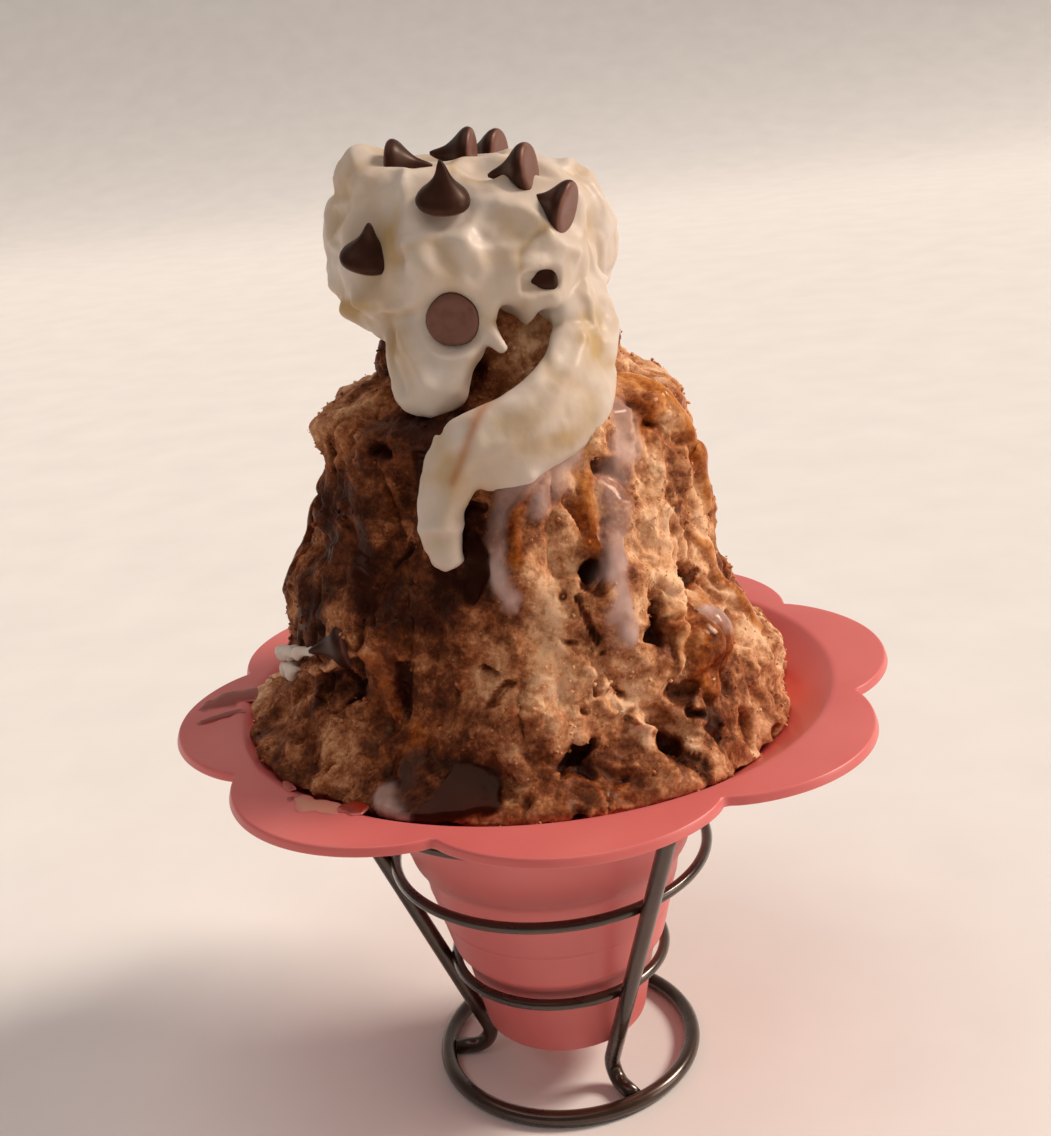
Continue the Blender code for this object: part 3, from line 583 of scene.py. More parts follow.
def iceRelief(points):
    # melted ridges that run aslant, where warped noise crosses zero, with nodules, crumbs and pits;
    # returns the height in mm and how far a point lies in the small gaps, where syrup gathers and which are darkened,
    # partly as that syrup and partly as painted shade
    warp = np.stack([noise(points, 7, 61 + k) for k in range(3)], -1) * 2.4
    bent = points + warp
    aslant = np.stack([0.75 * (bent[..., 0] + bent[..., 2]), 0.26 * (bent[..., 0] - bent[..., 2]), bent[..., 1]], -1)
    ridges = 1 - 2.2 * np.abs(noise(aslant, 6.5, 15))
    small = 1 - 2.2 * np.abs(noise(aslant, 2.8, 16))
    nodules, _ = cellGaps(bent, 3.8, 5)
    crumbs, _ = cellGaps(points + 0.3 * warp, 1.9, 9)
    ragged = layered(points, 2.4, 3, 77)
    pits = smoothStep(noise(bent * np.array([1, 1, 0.8]), 3.6, 31), 0.55, 0.85)
    fine = 0.5 * (0.5 - crumbs) + 0.35 * ragged + 0.2 * small
    return 0.95 * ridges + 0.3 * small + 0.4 * (0.5 - nodules) + 0.8 * fine - 1.8 * pits, pits - fine - 0.35 * ridges


def iceGrid(levels):
    # rows of the heap's surface, moved out along its normals by the relief, with the runs laid over it
    azimuth = np.arange(iceShape["columns"]) * 360 / iceShape["columns"]
    grid = np.stack(np.meshgrid(azimuth, levels), -1)
    radius = heapLumps(grid[..., 0], grid[..., 1])
    points = onCylinder(grid[..., 0], radius, grid[..., 1])
    around = np.roll(points, -1, 1) - np.roll(points, 1, 1)
    up = np.gradient(points, axis=0)
    normals = np.cross(around, up)
    normals /= np.linalg.norm(normals, axis=-1, keepdims=True) + 1e-9
    relief, gaps = iceRelief(points)
    relief = relief * (1 - 0.45 * amountOf("chocolate", *grid.transpose(2, 0, 1)))
    show = smoothStep(grid[..., 1], -16, -8)
    cover = np.zeros(show.shape)
    lift = np.zeros(show.shape)
    for kind in ("caramel", "milk", "chocolate"):
        c, l = runField(points, kind)
        cover, lift = np.maximum(cover, c), np.maximum(lift, l)
    rise = runField(points, "ridge")[1] - runField(points, "cut")[1]
    height = (relief * (1 - 0.85 * cover) + 0.4 * cover + lift + rise) * show
    moved = points + normals * height[..., None]
    moved[..., 2] += 0.5 * noise(points, 3.0, 91) * show * (1 - cover)
    # nothing comes through the dish, whose inner wall rises outwards
    wall = heap["mouthR"] - 0.35 + 1.45 * np.minimum(moved[..., 2] - rimZ + 0.9, 0)
    reach = np.hypot(moved[..., 0], moved[..., 1])
    inDish = moved[..., 2] < rimZ + 0.4
    moved[..., :2] *= np.where(inDish, np.minimum(wall / reach, 1), 1)[..., None]
    return moved, gaps, normals


def makeIce():
    # two skins, low and high, that share one row
    low = np.concatenate([[-17.5], np.linspace(-16, iceShape["seam"], iceShape["lowRows"])])
    high = np.concatenate([np.linspace(iceShape["seam"], 78, iceShape["highRows"]), [80, 82.5, 85, 87, 87.9]])
    levels = np.concatenate([low, high[1:]])
    points, gaps, normals = iceGrid(levels)
    rest = syrupMaps(points, gaps)
    azimuth = np.arange(iceShape["columns"]) * 360 / iceShape["columns"]
    cup = np.stack([onCylinder(azimuth, r + 0 * azimuth, z - rimZ) for r, z in stemInside()])
    split = len(low)
    made = []
    for name, rows, extra in (("iceHeapLow", slice(0, split), True), ("iceHeapHigh", slice(split - 1, None), False)):
        part = points[rows]
        values = {k: v[rows] for k, v in rest.items()}
        if extra:
            part = np.concatenate([cup, part])
            values = {k: np.concatenate([np.full(cup.shape[:2], 0.6), v]) for k, v in values.items()}
        flat = part.reshape(-1, 3)
        end = part[0].mean(0) if extra else np.array([0, 0, rimZ + heap["topZ"]])
        a = np.arange(iceShape["columns"])
        b = (a + 1) % iceShape["columns"]
        last = (len(part) - 1) * iceShape["columns"]
        fan = np.stack([np.full(len(a), len(flat)), b, a] if extra else [np.full(len(a), len(flat)), last + a, last + b], -1)
        faces = [facesOfGrid(len(part), iceShape["columns"]), fan]
        values = {k: np.append(v.ravel(), 0.6) for k, v in values.items()}
        mesh = makeMesh(name, np.vstack([flat, end]), faces, iceFinish, values)
        made.append(addPiece(name, mesh, ["shaved_ice"] if extra else []))
    return points, normals, levels, {**rest, "gaps": gaps}


def stemInside():
    # radius and height of the cup's inner corners, less a hair, from the bottom up
    return ((16.6, 12.5), (20.0, 30.1), (22.2, 32.2), (27.2, 53.4), (28.8, 55.2), (33.6, 72.4))


icePoints, iceNormals, iceLevels, iceMaps = makeIce()
print("shaved ice made")


# ---- the cup ----

cup = {
    "columns": 384, "petals": 8, "firstPetal": 5.0, "tipR": 74.96, "notchR": 66.5, "fullness": 0.75,
    "mouthR": 60.5, "bottomR": 18.0, "bottomZ": 11.0, "wall": 1.1, "bodyTopR": 35, "bodyTopZ": 71,
    "steps": ((31.4, 29.3, 23.6, 21.4), (54.4, 52.6, 30.2, 28.6)),  # top z, low z, top r, low r
    "ridges": (39.5, 47.0),  # fine stacking lines on the body
}


def petalEdge(azimuth):
    # radius of the flower: a cosine once a petal, to a power that rounds it
    wave = np.abs(np.cos(cup["petals"] / 2 * np.radians(azimuth - cup["firstPetal"])))
    return cup["notchR"] + (cup["tipR"] - cup["notchR"]) * wave ** cup["fullness"]


def roundCorners(corners, reaches, steps=5):
    # each corner of a profile becomes a parabola that starts and ends its reach away
    rows = [corners[0]]
    t = np.linspace(0, 1, steps)[:, None, None]
    for i in range(1, len(corners) - 1):
        before = corners[i - 1] - corners[i]
        after = corners[i + 1] - corners[i]
        lengths = [np.linalg.norm(v, axis=-1, keepdims=True) for v in (before, after)]
        start = corners[i] + before * np.minimum(reaches[i] / lengths[0], 0.45)
        end = corners[i] + after * np.minimum(reaches[i] / lengths[1], 0.45)
        rows.extend((1 - t) ** 2 * start + 2 * t * (1 - t) * corners[i] + t**2 * end)
    rows.append(corners[-1])
    return np.array(rows)


def cupProfile(azimuth):
    # radius and height from the middle of the underside, up the outside, over the rim and down inside
    c = cup
    edge = petalEdge(azimuth)
    flat = 0 * azimuth
    outside = [(0.5, c["bottomZ"], 0), (c["bottomR"], c["bottomZ"], 1.0)]
    for topZ, lowZ, topR, lowR in c["steps"]:
        outside += [(lowR, lowZ, 0.7), (topR, topZ, 0.9)]
    stretch = ((23.6, 31.4), (28.6, 52.6))
    for z in c["ridges"]:
        r = np.interp(z, [stretch[0][1], stretch[1][1]], [stretch[0][0], stretch[1][0]])
        at = next(i for i, row in enumerate(outside) if row[1] == 52.6)
        outside[at:at] = [(r - 0.06, z - 0.5, 0.2), (r + 0.16, z, 0.3), (r + 0.1, z + 0.5, 0.2)]
    outside += [(c["bodyTopR"], c["bodyTopZ"], 2.0), (c["mouthR"] + 1.1, rimZ - 1.75, 2.0)]
    lip = [
        (edge - 2.5, rimZ - 1.1, 0.8), (edge - 1.3, rimZ - 1.7, 0.3), (edge - 0.05, rimZ - 1.7, 0.2),
        (edge - 0.45, rimZ - 0.5, 0.15), (edge - 0.75, rimZ, 0.35),
    ]
    inside = [(c["mouthR"] + 1.4, rimZ, 0.9), (c["mouthR"], rimZ - 0.9, 0.8), (c["bodyTopR"] - 0.9, c["bodyTopZ"] + 0.9, 2.0)]
    for topZ, lowZ, topR, lowR in reversed(c["steps"]):
        inside += [(topR - 1.1, topZ + 0.4, 0.7), (lowR - 1.1, lowZ + 0.4, 0.7)]
    inside += [(c["bottomR"] - 1.1, c["bottomZ"] + 1.1, 1.0), (0.5, c["bottomZ"] + 1.1, 0)]
    corners = [*outside, *lip, *inside]
    shape = np.array([np.stack([r + flat, z + flat], -1) for r, z, _ in corners])
    return roundCorners(shape, [reach for _, _, reach in corners]), len(outside + lip)


def makeCup():
    azimuth = np.arange(cup["columns"]) * 360 / cup["columns"]
    profile, outer = cupProfile(azimuth)
    radius, height = profile[..., 0], profile[..., 1]
    rings = onCylinder(azimuth, radius, height - rimZ)
    points, faces = closedTube(rings)
    inner = np.arange(len(rings)) > 5 * outer
    # how far a point lies down inside the dish, where the painted glow of light through the wall goes
    inside = inner[:, None] * smoothStep(rimZ - 0.4 - height, 0, 4)
    mesh = makeMesh("moulded_cup", points, faces, cupFinish, {"inside": np.append(inside.ravel(), [0, 1])})
    return addPiece("moulded_cup", mesh, ["flower_cup"])


smears = {
    # left on the petals: what of, amount, knots of azimuth, radius, half width, thickness
    "trail": ("syrup", 1.1, ((-95, 55, 2.6, 0.3), (-97, 60, 3.6, 0.3), (-96, 65, 3.8, 0.25), (-93, 69, 2.4, 0.15), (-91, 71, 1.0, 0.1))),
    "stroke": ("syrup", 1.3, ((-90, 61.5, 0.9, 0.15), (-88, 65, 1.6, 0.25), (-86.8, 68, 1.8, 0.3), (-85.6, 70.8, 1.0, 0.15))),
    "drop": ("syrup", 2.0, ((-37.4, 59.4, 1.6, 0.5), (-35, 60.2, 2.4, 0.9), (-32.4, 60.0, 1.9, 0.7))),
    "film": ("film", 0.8, ((-47, 62.6, 1.2, 0.15), (-43, 63, 2.4, 0.2), (-39.5, 62.8, 2.6, 0.2), (-36.6, 62, 1.6, 0.15))),
    "dotHigh": ("syrup", 0.7, ((-53.6, 60, 0.7, 0.12), (-51.5, 61, 1.0, 0.15), (-49.4, 61.4, 0.6, 0.1))),
    "dotLow": ("syrup", 0.7, ((-48, 63.2, 0.8, 0.12), (-46.4, 64.4, 0.9, 0.15))),
}


def makeSmears():
    # low domes along paths on the flange, their edges wandering with noise; the stain is full along the
    # middle and gone at the edge
    for name, (key, amount, knots) in smears.items():
        path = smoothPath(knots, 8)
        middle = onCylinder(path[:, 0], path[:, 1], -rimZ + 0 * path[:, 0])
        along = np.gradient(middle, axis=0)
        along /= np.linalg.norm(along, axis=1, keepdims=True)
        across = np.stack([-along[:, 1], along[:, 0], 0 * along[:, 0]], -1)
        turn = np.arange(24) * math.pi / 12
        wide = np.cos(turn)[None, :, None] * (path[:, 2, None, None] * across[:, None])
        rings = middle[:, None] + wide * (1 + 0.5 * noise(middle[:, None] + wide, 2.5, 7)[..., None])
        ends = 0.12 + 0.88 * np.sin(np.linspace(0, math.pi, len(path))) ** 0.4
        high = path[:, 3, None] * np.sin(turn) * ends[:, None]
        rings[..., 2] = rimZ + high
        blend = smoothStep(np.sin(turn)[None] * ends[:, None] * (1 + 0.4 * noise(rings, 1.6, 8)), 0.1, 0.8)
        points, faces = closedTube(rings)
        stain = {key: np.append((amount * blend).ravel(), [0, 0])}
        addPiece(f"smear_{name}", makeMesh(f"smear_{name}", points, faces, cupFinish, stain))


# ---- the wire stand ----

stand = {
    "legWire": 3.5, "ringWire": 2.4, "legAzimuths": (-91.0, 29.0, 149.0), "legRAtFloor": 15.26,
    "lean": 0.418, "legTop": 75.5, "bendR": 4.0, "baseR": 28.0,
    "rings": {"stand_ring_top": 74.0, "stand_ring_middle": 52.5, "stand_ring_low": 26.9},
    "sides": 16,
}


def wireAlong(path, thickness, outward):
    # circles of wire square to a path; outward is a direction that the path never follows
    along = np.gradient(path, axis=0)
    along /= np.linalg.norm(along, axis=1, keepdims=True)
    side = np.cross(along, outward)
    side /= np.linalg.norm(side, axis=1, keepdims=True)
    up = np.cross(side, along)
    turn = (np.arange(stand["sides"]) * 2 * math.pi / stand["sides"])[None, :, None]
    return path[:, None] + thickness / 2 * (np.cos(turn) * side[:, None] + np.sin(turn) * up[:, None])


def makeStand():
    s = stand
    half = s["legWire"] / 2
    lean = math.atan(s["lean"])
    bendTop = half + s["bendR"] * (1 + math.sin(lean))
    centreR = s["legRAtFloor"] + s["lean"] * bendTop + s["bendR"] * math.cos(lean)
    straight = np.linspace(s["legTop"], bendTop, 24)
    turn = math.pi - lean + np.linspace(0, 1, 14)[1:] * (math.pi / 2 + lean)
    r = [s["legRAtFloor"] + s["lean"] * straight, centreR + s["bendR"] * np.cos(turn), [s["baseR"] - half - 0.1]]
    z = [straight, half + s["bendR"] + s["bendR"] * np.sin(turn), [half]]
    r, z = np.concatenate(r), np.concatenate(z)
    for name, azimuth in zip(("left", "right", "back"), s["legAzimuths"]):
        path = onCylinder(azimuth, r, z - rimZ)
        sideways = onCylinder(azimuth + 90, 1.0, -rimZ)
        rings = wireAlong(path, s["legWire"], sideways)
        points, faces = closedTube(rings[::-1])
        addPiece(f"wire_leg_{name}", makeMesh(f"wire_leg_{name}", points, faces, wireFinish), [f"stand_leg_{name}"])
    around = np.arange(180) * 2.0
    levels = {**s["rings"], "stand_ring_base": half}
    for node, height in levels.items():
        wire = s["legWire"] if node == "stand_ring_base" else s["ringWire"]
        across = s["legWire"] * math.hypot(1, s["lean"])
        radius = s["baseR"] if node == "stand_ring_base" else s["legRAtFloor"] + s["lean"] * height - (across + wire) / 2 - 0.1
        turn = (np.arange(s["sides"]) * 2 * math.pi / s["sides"])[None, :]
        rings = onCylinder(around[:, None], radius - wire / 2 * np.cos(turn), height - rimZ + wire / 2 * np.sin(turn))
        points, faces = closedTube(rings, wrapAlong=True)
        name = node.replace("stand_", "wire_")
        addPiece(name, makeMesh(name, points, faces, wireFinish), [node])


makeCup()
makeSmears()
makeStand()
print("cup and stand made")

# ---- chocolate chips ----

chips = {
    "radius": 5.0, "height": 8.8, "sides": 28,
    # middle of the flat base (x, y, z), azimuth and climb of the tip, how far the tip curls over
    # and how far the cream sinks round it
    "places": {
        "rear_left": (-17.6, -6.9, 107.7, 83, -5, 0.3, 1.3),
        "top_left": (-1.6, -2.0, 108.0, -101, 4, 0.3, 1.6),
        "top_right": (3.6, 6.4, 107.0, -112, 3, 0.3, 1.2),
        "crown": (8.5, -15.7, 105.4, -110, -4, 0.2, 3.0),
        "right": (14.4, -20.6, 98.2, -114, 16, 0.3, 1.8),
        "front": (-7.7, -22.6, 101.2, 12, 64, 0.7, 0.5),
        "left": (-22.7, -18.7, 91.9, 31, 64, 0.7, 1.0),
        "low_right": (9.4, -19.7, 86.0, -65, 0, 0.3, 0.0),
        "disc": (-8.3, -27.3, 81.7, 170, 0, 0.2, 0.0),
        "back": (-2.0, 21.5, 101.0, 172, 45, 0.5, 0.6),
        "fallen": (-33.9, -27.4, 23.2, -98, -8, 0.3, 0.0),
    },
}


def tipOf(spot):
    # the way a chip's tip points
    a, e = math.radians(spot[3]), math.radians(spot[4])
    return np.array([math.sin(a) * math.cos(e), -math.cos(a) * math.cos(e), math.sin(e)])


def chipPoints(spot, seed):
    # a drop: radius against height, its flat base rounded off, its tip drawn thin and curled aside
    c = chips
    x, y, z, _, _, curl, _ = spot
    profile = smoothPath((
        (0.0, 0.02), (0.72, 0.0), (0.93, 0.03), (1.0, 0.11), (0.97, 0.19), (0.86, 0.28), (0.66, 0.39), (0.48, 0.5),
        (0.34, 0.61), (0.24, 0.73), (0.16, 0.85), (0.07, 0.95)), 3)
    turn = np.arange(c["sides"]) * 2 * math.pi / c["sides"]
    radius = profile[:, :1] * c["radius"] * (0.965 + 0.02 * np.cos(3 * turn + seed) + 0.01 * np.cos(5 * turn - seed))
    height = np.broadcast_to(profile[:, 1:] * c["height"], radius.shape)
    lift = np.clip(profile[:, 1:] - 0.55, 0, 1)
    aside = curl * 5.0 * lift**2
    local = np.stack([radius * np.cos(turn) + aside * math.cos(seed), radius * np.sin(turn) + aside * math.sin(seed), height], -1)
    turned = np.array(Vector(tipOf(spot)).to_track_quat("Z", "Y").to_matrix())
    flat = 1 - smoothStep(np.broadcast_to(profile[:, 1:], radius.shape), 0.03, 0.10)
    return local[1:] @ turned.T + np.array([x, y, z + rimZ]), flat[1:]


def makeChips():
    for seed, (name, spot) in enumerate(chips["places"].items()):
        rings, flat = chipPoints(spot, seed * 1.7)
        points, faces = closedTube(rings)
        mesh = makeMesh(f"chocolate_{name}", points, faces, chocolateFinish, {"flat": np.append(flat.ravel(), [1, 0])})
        addPiece(f"chocolate_{name}", mesh, [f"chip_{name}"])


makeChips()
print("chips made")

# ---- the whipped cream ----

cream = {
    "centreX": -3.5, "waistZ": 88, "topZ": 108, "radius": 27, "power": 2.6, "voxel": 0.45,
    # the lower edge of the cap: azimuth, z
    "hem": (
        (-180, 79), (-130, 78), (-95, 80), (-70, 81.5), (-55, 79), (-40, 76), (-20, 76), (-4, 78),
        (5, 79.4), (9, 83.4), (14, 83.8), (17.4, 81.6), (20.8, 77.8), (24, 80.8), (28, 82), (31, 81.4), (33, 77),
        (60, 78), (110, 79), (150, 80),
    ),
    # bulges: azimuth, z, width in degrees, height, depth in mm
    "bulges": (
        (-84, 108, 34, 6, 6.5), (-22, 91.5, 11, 5, 1.5), (20, 98, 14, 7, 1.3), (-60, 92, 14, 6, 1.0),
        (72, 79, 32, 7, -4.0), (60, 91, 24, 6, -1.8), (72, 103, 26, 6, -0.6), (12, 88, 9, 3, 1.0), (23, 82.6, 6, 2.2, 2.2), (-66, 101, 7, 3, -1.2), (-34, 92, 5, 4, -1.4),
        (-2, 99, 9, 4, -0.9), (100, 90, 18, 7, 1.5), (170, 92, 22, 7, 1.2), (-140, 95, 16, 6, 1.5),
    ),
    # azimuth, z, distance from the axis, half width, half thickness
    "tongue": (
        (-26, 92, 18.0, 9.0, 3.6), (-27, 82, 23.5, 10.2, 3.9), (-28, 74, 26.8, 9.4, 3.9), (-27, 69.5, 28.6, 7.6, 3.7),
    ),
    "ribbon": (
        (50, 90, 16.6, 7.6, 3.2), (42.5, 80, 22.8, 7.8, 3.3), (34, 73.4, 26.4, 8.0, 3.4), (21.5, 67.2, 31.4, 8.4, 3.5),
        (6.5, 62.8, 35.0, 8.0, 3.5), (-4, 60.8, 36.7, 7.6, 3.3), (-11, 59.6, 37.4, 7.2, 3.1), (-14.5, 58.6, 37.8, 5.6, 2.8),
    ),
    "tip": (
        (-13, 61.5, 37.0, 5.6, 2.8), (-16.5, 56, 38.2, 5.0, 2.9), (-19.4, 51, 39.2, 4.1, 2.8),
        (-20, 46.5, 40.1, 3.7, 2.7), (-19.2, 41.6, 41.0, 2.9, 2.3),
    ),
    "spike": ((-6, 79.5, 25.0, 1.8, 1.4), (-3, 77.8, 27.0, 1.5, 1.2), (0.5, 75.9, 28.4, 0.9, 0.8)),
    # soft ridges on the outside: knots (azimuth, z), half width, height
    "folds": (
        (((-33, 99), (-32, 96.7), (-28, 94.9), (-24, 95.1), (-22, 97)), 1.5, 0.9),
        (((-29, 93.8), (-22, 91.3), (-10, 85.8), (-4, 82)), 2.2, 1.1),
        (((0, 110), (6, 107.5), (14, 103.4), (21, 98.7), (29, 94), (33, 90.6)), 1.8, 1.0),
        (((-13, 97.7), (-8, 93), (-3, 89.1), (2, 85.2)), 1.8, 0.9),
        (((-56, 84.6), (-42, 85.6), (-37, 83.5), (-36, 79.6), (-30, 75.1), (-25, 70.9)), 1.6, 1.2),
        (((-75, 96), (-62, 98), (-50, 101), (-36, 104)), 1.8, 0.8),
        (((-60, 106), (-44, 105), (-24, 107)), 2.0, 0.7),
        (((50, 100), (44, 92), (40, 84)), 2.6, 0.8),
        (((-100, 90), (-80, 86), (-66, 84)), 2.0, 0.9),
        (((100, 102), (130, 95), (150, 88)), 2.4, 1.0),
        (((-170, 104), (-150, 98), (-120, 94)), 2.4, 1.0),
        (((-42, 80), (-41, 75), (-36, 70)), 1.3, -0.7),
        (((30, 76), (10, 66), (-6, 60)), 1.6, 0.5),
        (((-8, 62), (-15, 55), (-18, 48)), 1.4, 0.6),
        (((-22, 60), (-24, 52), (-23.5, 44)), 1.0, 0.5),
        (((4, 55), (-3, 52.6)), 1.3, 0.7),
    ),
    # caramel stain and buttery places: azimuth, z, width, height, amount
    "slot": (3.5, 2.0),  # half width and half height in mm
    "drip": ((-2, 71.5), (-8, 66.5), (-11, 62), (-15, 56)),
    "stain": ((-9, 66, 3, 2.5, 0.2), (-48, 77, 3, 3, 0.2)),
    "butterAndShade": (
        (32, 74, 7, 4, 0.6), (-16, 60, 5, 5, 0.5), (-36, 76, 6, 5, 0.5), (-60, 83, 12, 3, 0.6), (-38, 96, 6, 5, 0.5),
        (4, 93, 9, 6, 0.35), (20, 98, 9, 4, 0.3), (-66, 107, 8, 4, 0.5), (12, 61, 9, 2, 0.4), (36, 84, 6, 6, 0.4),
    ),
}


def softSpots(spots, azimuth, z):
    total = 0
    for where, level, wide, tall, amount in spots:
        total = total + amount * np.exp(-((turnBetween(azimuth, where) / wide) ** 2) - ((z - level) / tall) ** 2)
    return total


def capRings():
    # a squarish dome: r = R (1 - rise^p)^(1/p), with bulges, over a hem whose height changes round it
    c = cream
    azimuth = np.arange(120) * 3.0
    knots = np.array(c["hem"])
    hem = np.interp((azimuth + 180) % 360 - 180, np.append(knots[:, 0], 180), np.append(knots[:, 1], knots[0, 1]))
    share = np.linspace(0, 1, 46)[:, None]
    z = hem + (c["topZ"] - 0.4 - hem) * np.sin(share * math.pi / 2) ** 0.9
    rise = np.clip((z - c["waistZ"]) / (c["topZ"] - c["waistZ"]), 0, 1)
    skirt = np.clip((c["waistZ"] - z) / 9, 0, 1)
    radius = c["radius"] * (1 - rise ** c["power"]) ** (1 / c["power"]) - 1.6 * skirt**2
    radius = radius - 1.6 * np.exp(-(((z - hem) / 0.9) ** 2))
    centre = np.array([c["centreX"], 0, 0])
    rough = onCylinder(azimuth, radius, z) + centre
    seen = np.degrees(np.arctan2(rough[..., 0], -rough[..., 1]))
    radius = radius + softSpots(c["bulges"], seen, z) + 1.1 * noise(rough, 11, 5) * smoothStep(z, 80, 90)
    corner = 5.5 * np.exp(-((turnBetween(azimuth, -84) / 34) ** 2) - ((z - 108) / 6) ** 2) * smoothStep(radius, 10, 20)
    return onCylinder(azimuth, np.maximum(radius, 0.4), z + corner) + centre


def runRings(knots, sides=28, flatness=1.0, steps=8):
    # a flat run of cream on the heap: ellipses square to its path, rounded off past the last knot
    path = smoothPath(knots, steps)
    centres = onCylinder(path[:, 0], path[:, 2], path[:, 1])
    along = np.gradient(centres, axis=0)
    along /= np.linalg.norm(along, axis=1, keepdims=True)
    outward = onCylinder(path[:, 0], 1.0, -rimZ + 0 * path[:, 0])
    outward -= along * np.sum(outward * along, 1, keepdims=True)
    outward /= np.linalg.norm(outward, axis=1, keepdims=True)
    across = np.cross(outward, along)
    turn = np.arange(sides) * 2 * math.pi / sides
    round2 = lambda v: np.sign(v) * np.abs(v) ** 0.8
    wide = path[:, 3][:, None, None] * across[:, None] * round2(np.cos(turn))[None, :, None]
    deep = path[:, 4][:, None, None] * outward[:, None] * round2(np.sin(turn))[None, :, None]
    rings = centres[:, None] + wide + deep
    ends = []
    for share in (0.35, 0.65, 0.87, 0.97):
        shrink = math.sqrt(1 - share**2)
        ends.append(centres[-1] + along[-1] * share * 0.65 * path[-1, 3] + shrink * (rings[-1] - centres[-1]))
    return np.concatenate([rings, np.array(ends)])


def distanceTo(points, knots):
    # distance in mm from points to a line of knots given as azimuth and z, on the outside of the cream
    line = onCylinder(np.array([k[0] for k in knots], float), 1.0, np.array([k[1] for k in knots], float))
    around = np.hypot(points[:, 0], points[:, 1])
    flat = np.stack([np.degrees(np.arctan2(points[:, 0], -points[:, 1])), points[:, 2] - rimZ], -1)
    best = np.full(len(points), 1e9)
    for a, b in zip(knots[:-1], knots[1:]):
        scale = np.radians(1) * around
        p = np.stack([turnBetween(flat[:, 0], a[0]) * scale, flat[:, 1] - a[1]], -1)
        d = np.stack([turnBetween(b[0], a[0]) * scale, np.full(len(points), b[1] - a[1])], -1)
        t = np.clip((p * d).sum(1) / (d * d).sum(1), 0, 1)
        best = np.minimum(best, np.linalg.norm(p - d * t[:, None], axis=1))
    return best


def vertexNormals(mesh):
    normals = np.empty(len(mesh.vertices) * 3, np.float32)
    mesh.vertex_normals.foreach_get("vector", normals)
    return normals.reshape(-1, 3)


def relaxed(points, mesh, rounds):
    # moves each point halfway to the mean of its neighbours, a few times over
    ends = np.empty(len(mesh.edges) * 2, np.int32)
    mesh.edges.foreach_get("vertices", ends)
    a, b = ends.reshape(-1, 2).T
    start, other = np.concatenate([a, b]), np.concatenate([b, a])
    count = np.bincount(start, minlength=len(points))[:, None]
    for _ in range(rounds):
        mean = np.stack([np.bincount(start, points[other, k], len(points)) for k in range(3)], -1) / count
        points = (points + mean) / 2
    return points


def meltTogether(name, shapes, voxel):
    # joins closed shapes into one skin of even small quads, then lets its creases run out
    points = np.concatenate([p for p, _ in shapes])
    faces = []
    start = 0
    for p, groups in shapes:
        faces += [g + start for g in (groups if isinstance(groups, list) else [groups])]
        start += len(p)
    rough = bpy.data.objects.new(name, makeMesh(name, points, faces))
    bpy.context.scene.collection.objects.link(rough)
    even = rough.modifiers.new("even", "REMESH")
    even.mode = "VOXEL"
    even.voxel_size = voxel * mm
    soften = rough.modifiers.new("soften", "SMOOTH")
    soften.factor = 0.5
    soften.iterations = 8
    mesh = bpy.data.meshes.new_from_object(rough.evaluated_get(bpy.context.evaluated_depsgraph_get()))
    bpy.data.objects.remove(rough)
    mesh.name = name
    return mesh


